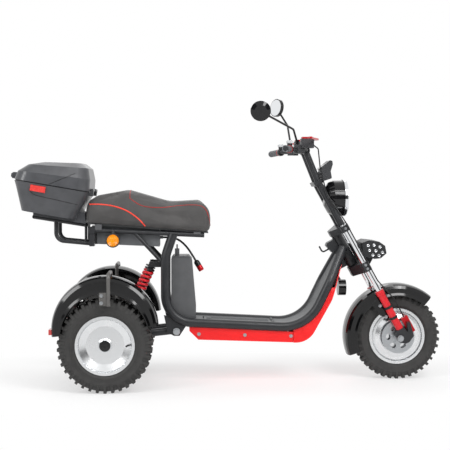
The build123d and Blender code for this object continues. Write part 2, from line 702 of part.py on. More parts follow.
box_ends = (BOX_REAR_X, BOX_FRONT_X)
box_low = [(x, rail_z(x) - BOX_DROP) for x in box_ends]
box_high = [(x, pan_z(x) - BOX_GAP) for x in reversed(box_ends)]
controller = side_plate(box_low + box_high, -BOX_HALF, BOX_HALF)
flange_ends = (BOX_REAR_X + 30, BOX_FRONT_X - 30)
flange_low = [(x, rail_z(x) - 2) for x in flange_ends]
flange_high = [(x, rail_z(x) + 2) for x in reversed(flange_ends)]
box_flange = side_plate(flange_low + flange_high, -TUBE_Y, TUBE_Y)
lead_gland = bar((BOX_FRONT_X, LEAD_Y, LEAD_Z), (BOX_FRONT_X + GLAND_LENGTH, LEAD_Y, LEAD_Z), GLAND_R)
controller = controller + box_flange + lead_gland - seat_frame - main_frame
keep("controller_box", biggest(controller))

# Seat pan on feet, and the seat cushion lofted from side to side
pan_ends = (SEAT_REAR_X + PAN_INSET, SEAT_FRONT_X - PAN_INSET)
pan_under = [(x, pan_z(x)) for x in pan_ends]
pan_over = [(x, pan_z(x) + SEAT_PAN_T) for x in reversed(pan_ends)]
seat_pan = side_plate(pan_under + pan_over, -SEAT_HALF + 2 * PAN_INSET, SEAT_HALF - 2 * PAN_INSET)
feet = [block(x - 16, x + 16, side * TUBE_Y - 10, side * TUBE_Y + 10, rail_z(x), pan_z(x) + 4)
        for x in (RAIL_REAR_X + 34, RAIL_FRONT_X - 34) for side in (-1, 1)]
seat_pan = seat_pan + feet - seat_frame
keep("seat_pan", biggest(seat_pan - NODES["controller_box"]))
cushion_low = SEAT_PAN_T + SOFT_GAP
seat_middle = (SEAT_REAR_X + SEAT_FRONT_X) / 2
seat_line = [(SEAT_REAR_X, 0, 12), (SEAT_FRONT_X, 0, 24), (SEAT_FRONT_X, NOSE_H, 60), (DIP_X, DIP_H, 180),
             (HUMP_X, HUMP_H, 90), (SEAT_REAR_X, TAIL_H, 36)]


def seat_section(y, along, tall):
    """The seat's outline at one side place, drawn in by two factors."""
    corners = []
    for x, height, bend in seat_line:
        place = seat_middle + (x - seat_middle) * along
        corners.append((place, y, pan_z(place) + cushion_low + height * tall))
    return make_face(FilletPolyline(*corners, radius=[bend * tall for x, height, bend in seat_line],
                                    close=True))


seat = loft([seat_section(side * SEAT_HALF * across, along, tall) for side, across, along, tall in (
    (-1, 1, 0.95, 0.72), (-1, 0.93, 0.985, 0.88), (-1, 0.75, 1, 0.97), (1, 0, 1, 1),
    (1, 0.75, 1, 0.97), (1, 0.93, 0.985, 0.88), (1, 1, 0.95, 0.72))], ruled=True)
keep("seat", seat)

# Rack: two bent tubes, a carrier frame on top and the clamps on the seat rails
carrier_front = (CARRIER_FRONT_X, CARRIER_FRONT_Z)
carrier_rear = (CARRIER_REAR_X, CARRIER_REAR_Z)
rack_tube = bent_tube(
    [(RAIL_REAR_X, -RACK_Y, RACK_LOW_Z - 6), (RACK_POST_X, -RACK_Y, RACK_LOW_Z + 10),
     (RACK_POST_X, -RACK_Y, RACK_TOP_Z)], [40], RACK_R)
carrier = bar((carrier_front[0], -RACK_Y, carrier_front[1]), (carrier_rear[0], -RACK_Y, carrier_rear[1]),
              RACK_R)
carrier_bars = [cross_bar(x, z, -RACK_Y, RACK_Y, RACK_R) for x, z in (carrier_front, carrier_rear)]
clamp = block(RAIL_REAR_X - 12, BOX_REAR_X - 6, -TUBE_Y - 14, -RACK_Y + 14, RAIL_REAR_Z - 14,
              RAIL_REAR_Z + 16)
clamp = clamp + block(RAIL_REAR_X - 8, BOX_REAR_X - 10, -TUBE_Y - 10, -RACK_Y + 10, RACK_LOW_Z - 16,
                      RAIL_REAR_Z)
clamp = clamp + bar((CARRIER_FRONT_X, -RACK_Y, CARRIER_FRONT_Z), (CARRIER_FRONT_X, -RACK_Y, RACK_LOW_Z - 6),
                    RACK_R - 3)
rack = rack_tube + left_of(rack_tube) + pair(carrier) + carrier_bars + pair(clamp) - seat_frame
rack = rack - NODES["seat_pan"]
keep("rack", biggest(rack))

# Top case: a hollow base and a hollow lid hinged at the front edge
tilt = radians(CASE_TILT)
CASE = Plane(origin=(CASE_X, 0, CASE_Z), x_dir=(cos(tilt), 0, -sin(tilt)), z_dir=(sin(tilt), 0, cos(tilt)))


def case_section(length, width, corner, height, shift, lean):
    """A rounded rectangle across the case; the upper ones lean forward."""
    return Pos(shift, 0, height) * Rot(0, -lean, 0) * RectangleRounded(length, width, corner)


def case_block(sections):
    """A solid through (length, width, corner, height, shift, lean) sections."""
    return loft([case_section(*section) for section in sections], ruled=True)


def case_room(sections):
    """The room inside such a block, open at the seam."""
    up = 1 if sections[-1][3] > sections[0][3] else -1
    inner = [[length - 2 * CASE_WALL, width - 2 * CASE_WALL, corner - CASE_WALL, height, shift, lean]
             for length, width, corner, height, shift, lean in sections]
    inner[0][3] -= up
    inner[-1][3] -= up * CASE_WALL
    return case_block(inner)


half_seam = CASE_SEAM / 2
base_sections = [
    (CASE_LENGTH, CASE_WIDTH, 60, -half_seam, 0, 0),
    (CASE_LENGTH - 18, CASE_WIDTH - 16, 56, -CASE_DEPTH * 0.2, 2, 0),
    (CASE_LENGTH - 96, CASE_WIDTH - 70, 50, -CASE_DEPTH, 4, 0),
]
lid_sections = [
    (CASE_LENGTH, CASE_WIDTH, 60, half_seam, 0, 0),
    (CASE_LENGTH - 14, CASE_WIDTH - 10, 58, CASE_HEIGHT * 0.44, 2, 2.6),
    (CASE_LENGTH - 72, CASE_WIDTH - 60, 50, CASE_HEIGHT * 0.82, 14, 5.6),
    (CASE_LENGTH - 168, CASE_WIDTH - 150, 40, CASE_HEIGHT, 30, 7.6),
]
base_room = case_room(base_sections)
lid_room = case_room(lid_sections)
case_base = case_block(base_sections) - base_room
case_lid = case_block(lid_sections) - lid_room
case_hinge_x = CASE_LENGTH / 2 + CASE_KNUCKLE_R + HINGE_STANDOFF
lid_knuckles = [block(CASE_LENGTH / 2 - 14, case_hinge_x, y - 20, y + 20, half_seam, half_seam + 8) +
                cross_bar(case_hinge_x, half_seam + CASE_KNUCKLE_R, y - 20, y + 20,
                          CASE_KNUCKLE_R) for y in (-60, 60)]
base_knuckles = []
for y in (-96, 96):
    ear = block(CASE_LENGTH / 2 - 10, case_hinge_x + CASE_KNUCKLE_R, y - 14, y + 14, -half_seam - 16,
                -half_seam)
    ear = ear + block(case_hinge_x - CASE_KNUCKLE_R, case_hinge_x + CASE_KNUCKLE_R, y - 14, y + 14,
                      -half_seam, half_seam + CASE_KNUCKLE_R)
    ear = ear + cross_bar(case_hinge_x, half_seam + CASE_KNUCKLE_R, y - 14, y + 14, CASE_KNUCKLE_R)
    base_knuckles.append(ear)
case_pin = cross_bar(case_hinge_x, half_seam + CASE_KNUCKLE_R, -110, 110, CASE_HINGE_R)
case_bore = cross_bar(case_hinge_x, half_seam + CASE_KNUCKLE_R, -111, 111, CASE_HINGE_R + RUNNING_FIT)
lid_knuckles = [k - lid_room for k in lid_knuckles]
base_knuckles = [k - base_room for k in base_knuckles]
case_rear = -CASE_LENGTH / 2
case_latch = side_plate(
    [(case_rear + 14, half_seam), (case_rear - HANDLE_REACH + 8, half_seam),
     (case_rear - HANDLE_REACH, half_seam + 8),
     (case_rear - HANDLE_REACH, half_seam + 22), (case_rear - HANDLE_REACH + 10, half_seam + 30),
     (case_rear + 14, half_seam + 34)], -34, 34)
case_lid = case_lid + lid_knuckles + (case_latch - lid_room) - case_bore
case_base = case_base + base_knuckles + case_pin
case_foot = side_plate(
    [(carrier_front[0], carrier_front[1] + RACK_R - 3), (carrier_rear[0], carrier_rear[1] + RACK_R - 3),
     (carrier_rear[0], carrier_rear[1] + 60), (carrier_front[0], carrier_front[1] + 60)], -110, 110)
case_solid = CASE * case_block(base_sections)
case_foot = case_foot - case_solid - rack
case_base = CASE * case_base + biggest(case_foot)
keep("case_base", case_base)
keep("case_lid", CASE * case_lid)

# Turn signals behind the seat rails: housing on a stalk, amber lens outside
signal_stalk = bar((SIGNAL_X, -TUBE_Y - RAIL_R + 2, rail_z(SIGNAL_X)), (SIGNAL_X, -SIGNAL_Y, SIGNAL_Z), 8)
signal_shell = cross_bar(SIGNAL_X, SIGNAL_Z, -SIGNAL_Y - 24, -SIGNAL_Y, SIGNAL_R)
signal = signal_shell + signal_stalk - seat_frame
keep("signal_housings", *pair(biggest(signal)))
signal_lens = cross_bar(SIGNAL_X, SIGNAL_Z, -SIGNAL_Y - 36, -SIGNAL_Y - 24, SIGNAL_LENS_R)
keep("signal_lenses", *pair(signal_lens))

# Red reflectors on the fender tips and on the case
tip_angle = radians(REAR_FENDER_REAR - 4)
tip = Vector(REAR_AXLE_X + REAR_FENDER_R * cos(tip_angle), -half_track,
             fender_z + REAR_FENDER_R * sin(tip_angle))
tip_reflector = block(tip.X - 12, tip.X + 6, tip.Y - 26, tip.Y + 26, tip.Z - 12, tip.Z + 12) - fender_right
case_side = CASE_WIDTH / 2
case_reflector = CASE * block(case_rear + 86, case_rear + 156, -case_side - 1, -case_side + 20, -38, -10)
case_reflector = biggest(case_reflector - case_base - CASE * base_room)
tip_reflector = max(tip_reflector.solids(), key=lambda solid: -solid.center().X)
keep("reflectors", *pair(tip_reflector), *pair(case_reflector))

# Fork: clamps and stem, stanchions, lower legs, axle


def steer_bar(forward, left, low, high, radius):
    """A round bar along the steering axis's direction."""
    return bar(steer(forward, left, low), steer(forward, left, high), radius)


def clamp_plate(low, thick, forward, reach, boss):
    """A fork clamp: a plate with a boss round each fork tube."""
    plate = make_face(Polyline(*[steer(f, y, low) for f, y in (
        (-28, -26), (forward - boss, -reach), (forward + boss, -reach), (forward + boss + 6, 0),
        (forward + boss, reach), (forward - boss, reach), (-28, 26))], close=True))
    plate = extrude(plate, amount=thick, dir=STEER.z_dir)
    for side in (-1, 1):
        plate = plate + steer_bar(forward, side * reach, low, low + thick, boss)
    return plate


boss_r = STANCHION_R + CLAMP_BOSS
stem = steer_bar(0, 0, LOWER_CLAMP, UPPER_CLAMP + UPPER_CLAMP_T, STEM_R)
stanchion = steer_bar(LEG_OFFSET, -LEG_Y, LEG_TOP - 60, UPPER_CLAMP + UPPER_CLAMP_T + 6, STANCHION_R)
fork_leg = steer_bar(LEG_OFFSET, -LEG_Y, LEG_BOTTOM, LEG_TOP - 24, LEG_R)
fork_leg = fork_leg + steer_bar(LEG_OFFSET, -LEG_Y, LEG_TOP - 24, LEG_TOP, LEG_R + 3)
fork_leg = fork_leg - stanchion
spindle_reach = LEG_Y + LEG_R + 4
spindle = cross_bar(FRONT_AXLE.X, FRONT_AXLE.Z, -spindle_reach, spindle_reach, FRONT_SPINDLE_R)
spacer_gap = 1
spacers = [cross_bar(FRONT_AXLE.X, FRONT_AXLE.Z, -LEG_Y + 13, -front_hub - DISC_T - spacer_gap, 14),
           cross_bar(FRONT_AXLE.X, FRONT_AXLE.Z, 44 + spacer_gap, LEG_Y - 13, 14)]
nuts = [cross_bar(FRONT_AXLE.X, FRONT_AXLE.Z, side * (LEG_Y + 13), side * (LEG_Y + 23), 14) for side in (-1,
                                                                                                         1)]
front_axle = spindle + spacers + nuts
fork_clamps = clamp_plate(LOWER_CLAMP, LOWER_CLAMP_T, LEG_OFFSET, LEG_Y, boss_r)
fork_clamps = fork_clamps + clamp_plate(UPPER_CLAMP, UPPER_CLAMP_T, LEG_OFFSET, LEG_Y,
                                        boss_r) + stem - pair(stanchion)
fork_legs = pair(fork_leg)
lug_top = [(AXLE_OFFSET - 14, 20), (LEG_OFFSET - LEG_R, LEG_BOTTOM), (LEG_OFFSET + LEG_R, LEG_BOTTOM),
           (LEG_OFFSET + LEG_R + 6, 8)]
lug_foot = [(AXLE_OFFSET + 30, -38), (AXLE_OFFSET + 10, -36), (AXLE_OFFSET - 12, -16)]
caliper_arm = [(DISC_R + 4, 50), (DISC_R + 18, 46), (DISC_R + 2, -22)]
lug_right = steer_plate(lug_top + caliper_arm + lug_foot, -LEG_Y - 13, -LEG_Y + 13)
lug_left = steer_plate(lug_top + lug_foot, LEG_Y - 13, LEG_Y + 13)
keep("axle_lugs", lug_right - front_axle, lug_left - front_axle)
keep("fork_clamps", fork_clamps)
keep("fork_tubes", *pair(stanchion))
keep("fork_legs", *fork_legs)
keep("front_axle", front_axle)

# Risers with a yoke at their knee, and the handlebar
bar_centre = steer(BAR_FORWARD, 0, BAR_HEIGHT)
bar_inner = steer(BAR_FORWARD, -RISER_Y - 26, BAR_HEIGHT)
bar_sweep = steer(GRIP_FORWARD + SWEEP_FORWARD, -SWEEP_Y, GRIP_HEIGHT - SWEEP_DROP)
bar_end = steer(GRIP_FORWARD, -BAR_END, GRIP_HEIGHT)
bar_line = [bar_end, bar_sweep, bar_inner]
bar_line += [Vector(v.X, -v.Y, v.Z) for v in reversed(bar_line)]
handlebar = bent_tube(bar_line, BAR_BEND, BAR_R)
riser_low = UPPER_CLAMP + UPPER_CLAMP_T
riser_knee = UPPER_CLAMP + (BAR_HEIGHT - UPPER_CLAMP) * RISER_SHARE
knee = steer(LEG_OFFSET, 0, riser_knee)
side_step = Vector(0, RISER_Y, 0)
riser = steer_bar(LEG_OFFSET, -RISER_Y, riser_low, riser_knee, RISER_R + 2)
riser = riser + bar(knee - side_step, bar_centre - side_step, RISER_R)
riser = riser + cross_bar(bar_centre.X, bar_centre.Z, -RISER_Y - 18, -RISER_Y + 18, BAR_R + 8)
yoke = steer_plate([(LEG_OFFSET - 24, riser_knee - YOKE_T / 2), (LEG_OFFSET + 24, riser_knee - YOKE_T / 2),
                    (LEG_OFFSET + 24, riser_knee + YOKE_T / 2), (LEG_OFFSET - 24, riser_knee + YOKE_T / 2)],
                   -YOKE_HALF, YOKE_HALF)
risers = yoke + pair(riser) - handlebar
keep("handlebar", handlebar)
keep("risers", risers)
grip_run = (bar_end - bar_sweep).normalized()
grip_start = bar_end - grip_run * GRIP_LENGTH
grip = bar(grip_start, bar_end, GRIP_R) - bar(grip_start, bar_end, BAR_R + SOFT_GAP)
keep("grips", *pair(grip))

# Brake cylinders on the bar, with red caps and levers in front of the grips
hold = (bar_inner + bar_sweep) * 0.5
body_front = hold.X + 72
cylinder = block(hold.X + 12, body_front, hold.Y - 26, hold.Y + 26, hold.Z + 8, hold.Z + 52)
cylinder = cylinder + block(hold.X - 20, hold.X + 30, hold.Y - 18, hold.Y + 18, hold.Z - 18, hold.Z + 24)
cylinder = cylinder - handlebar
tip_x, tip_y = bar_end.X + LEVER_REACH, bar_end.Y + 15
lever_z = hold.Z + 52 - LEVER_T
lever = make_face(FilletPolyline(
    (body_front, hold.Y + 22, lever_z), (body_front + 22, hold.Y + 18, lever_z),
    (body_front + 22, hold.Y - 24, lever_z), (tip_x + 6, tip_y + 24, lever_z),
    (tip_x + 10, tip_y, lever_z), (tip_x, tip_y, lever_z), (tip_x - 7, tip_y + 28, lever_z),
    (body_front + 8, hold.Y - 22, lever_z), (body_front, hold.Y - 8, lever_z), radius=3, close=True))
lever = extrude(lever, amount=LEVER_T, dir=(0, 0, 1))
cap = block(hold.X + 16, body_front - 4, hold.Y - 22, hold.Y + 22, hold.Z + 52, hold.Z + 60)
keep("brake_cylinders", *pair(biggest(cylinder)))
keep("brake_levers", *pair(lever), *pair(cap))

# Mirrors: the right one is folded flat to the side, the left one looks back
mirror_foot = hold + Vector(-6, -4, 24)


def mirror_piece(foot, middle, centre, facing):
    """A round shell with its glass, on a bent stalk from its foot."""
    disc_frame = Plane(origin=centre, z_dir=facing)
    shell = disc_frame * Cylinder(MIRROR_R, MIRROR_T - 3, align=BASE)
    shell = disc_frame * Pos(0, 0, -6) * Cone(MIRROR_R * 0.6, MIRROR_R, 6, align=BASE) + shell
    glass = disc_frame * Pos(0, 0, MIRROR_T - 3) * Cylinder(MIRROR_R - 4, 2, align=BASE)
    inward = disc_frame.to_local_coords(middle)
    inward = Vector(inward.X, inward.Y, 0).normalized() * (MIRROR_R - 4)
    rim_point = disc_frame.from_local_coords(inward + Vector(0, 0, MIRROR_T / 2 - 2))
    stalk = bent_tube([foot + Vector(0, 0, 12), middle, rim_point], [30], 5)
    stalk = stalk + Pos(*foot) * Cylinder(9, 22, align=BASE)
    return stalk + shell - glass, glass


mirror_r, glass_r = mirror_piece(
    mirror_foot, hold + Vector(-31, -70, 92), hold + Vector(-196, -222, 164), (0, 1, 0.2))
left_hold = Vector(hold.X, -hold.Y, hold.Z)
left_foot = Vector(mirror_foot.X, -mirror_foot.Y, mirror_foot.Z)
mirror_l, glass_l = mirror_piece(
    left_foot, left_hold + Vector(-10, 110, 138), left_hold + Vector(-51, 188, 233), (-0.83, -0.55, 0.1))
keep("mirrors", mirror_r, mirror_l)
keep("mirror_glass", glass_r, glass_l)

# Headlight in front of the risers, instrument above it
HEADLIGHT = Plane(origin=(HEADLIGHT_BACK, 0, HEADLIGHT_Z), x_dir=(0, 1, 0), z_dir=(1, 0, 0))
depth = HEADLIGHT_FRONT - HEADLIGHT_BACK
shell_profile = [
    (0, -18), (40, -18), (HEADLIGHT_R - 15, 2), (HEADLIGHT_R - 4, 26), (HEADLIGHT_R - 3, depth - 14),
    (HEADLIGHT_R, depth - 14), (HEADLIGHT_R, depth + 3), (HEADLIGHT_R - 7, depth + 3),
    (HEADLIGHT_R - 7, depth), (0, depth)]
headlight = HEADLIGHT * revolve(make_face(Polyline(*[(r, 0, x) for r, x in shell_profile], close=True)),
                                axis=Axis.Z)
keep("headlight_shell", biggest(headlight - risers))
lens_r = HEADLIGHT_R - 7 - SOFT_GAP
cap_rise = LENS_BULGE - LENS_EDGE
ball_r = (lens_r ** 2 + cap_rise ** 2) / (2 * cap_rise)
headlight_lens = Pos(0, 0, depth) * Cylinder(lens_r, LENS_BULGE, align=BASE)
headlight_lens = headlight_lens & Pos(0, 0, depth + LENS_BULGE - ball_r) * Sphere(ball_r)
keep("headlight_lens", HEADLIGHT * headlight_lens)
dash = bar_centre + Vector(DASH_FORWARD, 0, -DASH_DROP)
dash_line = [(-26, 20), (15, 55), (26, 50), (28, 35), (18, 1), (24, -33), (-15, -46), (-28, -20)]
instrument = rounded_side([(dash.X + x, dash.Z + z) for x, z in dash_line], [8, 8, 4, 6, 12, 6, 6, 8],
                          -DASH_HALF, DASH_HALF)
tab_start = knee + (bar_centre - knee) * 0.28 - side_step
tab = bar(tab_start, (dash.X - 15, -RISER_Y, tab_start.Z + 4), 6)
keep("instrument", biggest(instrument + pair(tab) - risers))

# Light bar on a bracket from the lower clamp


def lamp_points(shares):
    """Side view points from shares of the light bar's length and height."""
    return [(LIGHT_BAR_X + u * LIGHT_BAR_LENGTH, LIGHT_BAR_Z + v * LIGHT_BAR_HEIGHT) for u, v in shares]


lamp_body = side_plate(lamp_points([
    (-0.34, 0.37), (-0.144, 0.5), (0.219, 0.433), (0.418, 0.211), (0.466, -0.189), (0.274, -0.456),
    (0.068, -0.489),
    (-0.247, -0.367), (-0.32, -0.2)]), -LIGHT_BAR_HALF, LIGHT_BAR_HALF)
fin_line = lamp_points([(-0.507, 0.278), (-0.3, 0.4), (-0.28, -0.2), (-0.39, -0.056)])
fin_pitch = (2 * LIGHT_BAR_HALF - 36) / (FIN_COUNT - 1)
fins = [side_plate(fin_line, -LIGHT_BAR_HALF + 15 + fin_pitch * i, -LIGHT_BAR_HALF + 21 + fin_pitch * i)
        for i in range(FIN_COUNT)]
lens_half = LIGHT_BAR_HALF - 8
lens_recess = side_plate(lamp_points([(0.432, 0.166), (0.468, -0.144), (0.424, -0.16), (0.386, 0.151)]),
                         -lens_half, lens_half)
lamp_lens = side_plate(lamp_points([(0.419, 0.161), (0.454, -0.149), (0.424, -0.16), (0.386, 0.151)]),
                       -lens_half, lens_half)
clamp_front = steer(LEG_OFFSET + boss_r + 2, 0, LOWER_CLAMP + LOWER_CLAMP_T / 2)
arm_top = LIGHT_BAR_Z - 0.4 * LIGHT_BAR_HEIGHT
lamp_arm = side_plate([(clamp_front.X - 20, clamp_front.Z - 16), (clamp_front.X + 6, clamp_front.Z - 16),
                       (LIGHT_BAR_X + 20, arm_top), (LIGHT_BAR_X - 16, arm_top)], -30, 30)
light_bar = lamp_body + fins + lamp_arm - lens_recess - fork_clamps
keep("light_bar", biggest(light_bar))
keep("light_bar_lens", lamp_lens)

# Front fender on side brackets from the fork legs
front_fender = Pos(*FRONT_AXLE) * fender(FRONT_FENDER_R, FRONT_FENDER_HALF, FRONT_SKIRT, FRONT_FENDER_FRONT,
                                         FRONT_FENDER_REAR)
bracket_low, bracket_high = 96, 176
bracket = steer_plate([(LEG_OFFSET - 12, bracket_low), (LEG_OFFSET + 12, bracket_low),
                       (LEG_OFFSET + 12, bracket_high),
                       (LEG_OFFSET - 14, bracket_high + 40), (LEG_OFFSET - 60, bracket_high + 30),
                       (LEG_OFFSET - 50, bracket_low + 40)],
                      -FRONT_FENDER_HALF - 4, -FRONT_FENDER_HALF)
bosses = []
for height in (bracket_low + 16, bracket_high - 16):
    place = steer(LEG_OFFSET, 0, height)
    bosses.append(cross_bar(place.X, place.Z, -LEG_Y, -FRONT_FENDER_HALF - 2, 9))
bracket = bracket + bosses - fork_legs
front_fender = front_fender + pair(biggest(bracket))
keep("front_fender", front_fender)

# Brake caliper over the disc, on the right lug's arm
caliper_top = DISC_R - 5
caliper = steer_plate([(DISC_R - 10, -9), (DISC_R + 24, -9), (DISC_R + 24, caliper_top),
                       (DISC_R - 10, caliper_top)],
                      -LEG_Y + 13, -DISC_Y + 12)
disc_slot = cross_bar(FRONT_AXLE.X, FRONT_AXLE.Z, -DISC_Y - DISC_T / 2 - 1, -DISC_Y + DISC_T / 2 + 1,
                      DISC_R + 3)
keep("caliper", caliper - disc_slot)

# Horn under the neck, key switch with a bag hook behind it
horn_centre = steer(-101, 0, head_low - 71)
horn = bar(horn_centre - Vector(HORN_T / 2, 0, 0), horn_centre + Vector(HORN_T / 2, 0, 0), HORN_R)
horn = horn + steer_plate([(-96, head_low - 40), (-84, head_low - 40), (-84, head_low + 24),
                           (-96, head_low + 24)], 4, 9)
keep("horn", biggest(horn - main_frame - NODES["front_panel"]))
key_low, key_high = head_high - 64, head_high - 12
key_block = steer_plate([(-20, key_low), (-62, key_low), (-72, key_high - 10), (-60, key_high),
                         (-20, key_high)], -24, 24)
hook = bent_tube([steer(-50, 0, key_low + 20), steer(-100, 0, key_low + 20), steer(-100, 0, key_low + 54)],
                 [12], 4)
key_block = key_block + hook - main_frame
keep("bag_hook", biggest(key_block - deck_board))

# Front brake hose along the right riser and fork leg, rear hose along the left riser
hose_side = -LEG_Y - 26
hose_mid = UPPER_CLAMP + (BAR_HEIGHT - UPPER_CLAMP) * 0.47
caliper_port = steer(DISC_R + 7, -DISC_Y - 12, caliper_top)
hose = bent_tube(
    [(body_front - 2, hold.Y + 12, hold.Z + 26), (body_front + 26, hold.Y + 20, hold.Z + 6),
     (bar_centre.X + 66, -RISER_Y - 30, bar_centre.Z - 80), steer(LEG_OFFSET + 6, -RISER_Y - 28, hose_mid),
     steer(LEG_OFFSET + 14, hose_side, UPPER_CLAMP + 43),
     steer(LEG_OFFSET + 14, hose_side, LOWER_CLAMP - 59),
     steer(DISC_R + 7, -LEG_Y - 4, caliper_top + 95), caliper_port],
    [14, 40, 50, 50, 50, 30], HOSE_R)
hose = biggest(hose - NODES["brake_cylinders"] - NODES["caliper"])
loom = bent_tube(
    [(body_front - 2, -hold.Y - 12, hold.Z + 26), (body_front + 10, -hold.Y - 22, hold.Z - 4),
     (bar_centre.X + 50, RISER_Y + 26, bar_centre.Z - 84), steer(LEG_OFFSET - 4, RISER_Y + 27, hose_mid),
     steer(LEG_OFFSET - 4, RISER_Y + 27, riser_low)],
    [8, 40, 60], HOSE_R + 1)
loom = biggest(loom - NODES["brake_cylinders"] - fork_clamps - risers)
keep("brake_hose", hose, loom)

# Free battery lead under the seat, with its connector
lead_points = [(BOX_FRONT_X + GLAND_LENGTH, LEAD_Y, LEAD_Z)] + LEAD_ROUTE
lead_radii = []
for a, b, c in zip(lead_points, lead_points[1:], lead_points[2:]):
    one, two = Vector(b) - Vector(a), Vector(c) - Vector(b)
    turn = radians(one.get_angle(two))
    lead_radii.append(0.45 * min(one.length, two.length) / tan(turn / 2))
print("battery lead radii", [round(radius, 1) for radius in lead_radii])
keep("battery_lead", bent_tube(lead_points, lead_radii, CORD_R))
lead_end = Vector(lead_points[-1])
lead_run = (lead_end - Vector(lead_points[-2])).normalized()
keep("lead_connector", bar(lead_end, lead_end + lead_run * CONNECTOR_LENGTH, CONNECTOR_R))

# The trike stands with the middle of its length over the origin
boxes = [shape.bounding_box() for shape in NODES.values()]
middle_x = (min(box.min.X for box in boxes) + max(box.max.X for box in boxes)) / 2
os.makedirs("parts", exist_ok=True)
for name, shape in NODES.items():
    export_step(Pos(-middle_x, 0, 0) * shape, f"parts/{name}.step")
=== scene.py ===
"""Dresses an electric trike: finishes for its solid pieces, soft and small pieces, and a studio."""

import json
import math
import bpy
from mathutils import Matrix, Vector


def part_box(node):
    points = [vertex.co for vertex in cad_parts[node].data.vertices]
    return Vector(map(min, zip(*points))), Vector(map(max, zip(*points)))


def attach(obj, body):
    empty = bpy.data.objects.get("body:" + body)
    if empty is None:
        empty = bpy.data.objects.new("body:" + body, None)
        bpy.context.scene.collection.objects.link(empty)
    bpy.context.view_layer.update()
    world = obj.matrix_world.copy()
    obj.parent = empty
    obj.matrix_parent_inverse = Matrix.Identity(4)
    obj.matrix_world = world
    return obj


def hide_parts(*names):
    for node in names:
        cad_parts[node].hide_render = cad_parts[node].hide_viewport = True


bl_info = {
    "name": "Electric Trike Dress",
    "version": (2, 0, 0),
    "blender": (4, 5, 0),
    "location": "View3D > Sidebar > Trike",
    "description": "Finishes, padded seat, springs, lamps, cords and studio for the electric trike",
    "category": "Object",
}

import bmesh
import bpy
from mathutils import Matrix, Vector
from mathutils.bvhtree import BVHTree

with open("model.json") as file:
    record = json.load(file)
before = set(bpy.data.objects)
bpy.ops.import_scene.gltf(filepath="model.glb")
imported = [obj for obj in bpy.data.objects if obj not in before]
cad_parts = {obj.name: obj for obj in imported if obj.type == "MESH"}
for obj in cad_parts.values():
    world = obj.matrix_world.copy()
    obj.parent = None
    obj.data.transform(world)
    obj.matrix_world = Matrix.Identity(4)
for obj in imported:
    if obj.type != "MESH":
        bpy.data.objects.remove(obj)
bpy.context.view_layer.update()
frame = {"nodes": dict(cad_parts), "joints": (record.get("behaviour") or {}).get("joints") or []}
NODES = frame["nodes"]
MM = 0.001
FULL_TURN = 2 * math.pi


def middle(node):
    """The middle of a solid's box."""
    low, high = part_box(node)
    return (low + high) / 2


# Places of the drawing, in millimetres
REAR_AXLE = (-558, 216)
FRONT_AXLE = (838, 209)
REAR_HUB = middle("rear_tyre_right")
FRONT_HUB = middle("front_tyre")
SHIFT = REAR_HUB.x / MM - REAR_AXLE[0]


def at(x, y, z):
    """A place of the drawing as a place in the frame, in metres."""
    return Vector((x + SHIFT, y, z)) * MM


STEERING = next(joint for joint in frame["joints"] if joint["name"] == "steering_turn")
STEER_UP = Vector(STEERING["axis"]).normalized()
STEER_FORWARD = Vector((STEER_UP.z, 0, -STEER_UP.x))


def steer(forward, left, height):
    """A place on the raked steering: millimetres ahead of its axis, to the left, and up along it."""
    offset = STEER_FORWARD * forward + STEER_UP * height + Vector((0, left, 0))
    return Vector(STEERING["pos_m"]) + offset * MM


# Where the case stands: a place of the drawing and a tilt that is low at the front
CASE_PLACE = (-815, 0, 941)
CASE_TILT = 9.7
CASE_PLANE = Matrix.Translation(at(*CASE_PLACE)) @ Matrix.Rotation(math.radians(CASE_TILT), 4, "Y")


# Colours and nodes

def linear(hex_colour):
    """An sRGB hex value as linear RGBA."""
    parts = [int(hex_colour[i:i + 2], 16) / 255 for i in (0, 2, 4)]
    return [c / 12.92 if c <= 0.04045 else ((c + 0.055) / 1.055) ** 2.4 for c in parts] + [1.0]


def tone(value):
    """A colour as linear RGBA, from the name of a setting or from an sRGB hex value."""
    settings = bpy.context.scene.trike
    return list(getattr(settings, value)) if hasattr(settings, value) else linear(value)


def add(tree, kind, inputs, into=None, **settings):
    """Adds a node, sets it up, sets or links its inputs, and leads its first output into a socket."""
    node = tree.nodes.new(kind)
    for key, value in settings.items():
        setattr(node, key, value)
    for key, value in inputs.items():
        if isinstance(value, bpy.types.Node):
            value = value.outputs[0]
        if isinstance(value, bpy.types.NodeSocket):
            tree.links.new(value, node.inputs[key])
        else:
            node.inputs[key].default_value = value
    if into is not None:
        tree.links.new(node.outputs[0], into)
    return node


def base_finish(name, colour, **constants):
    """A named material with its constants on the shader's own sockets."""
    material = bpy.data.materials.new(name)
    material.use_nodes = True
    tree = material.node_tree
    shader = tree.nodes["Principled BSDF"]
    shader.inputs["Base Color"].default_value = colour
    for key, value in constants.items():
        shader.inputs[key.replace("_", " ")].default_value = value
    place = add(tree, "ShaderNodeTexCoord", {}).outputs["Object"]
    return material, tree, shader.inputs, place


def per_metre(millimetres):
    """Texture scale that gives one repeat in so many millimetres."""
    return 1000 / millimetres


# Radians that the sine of a wave texture runs through in one unit
WAVE_RADIANS = 20


def wave_scale(millimetres):
    """Scale of a wave texture that gives one band in so many millimetres."""
    return per_metre(millimetres) * FULL_TURN / WAVE_RADIANS


# Finishes, each named for what the real one is, with two colours that it goes between

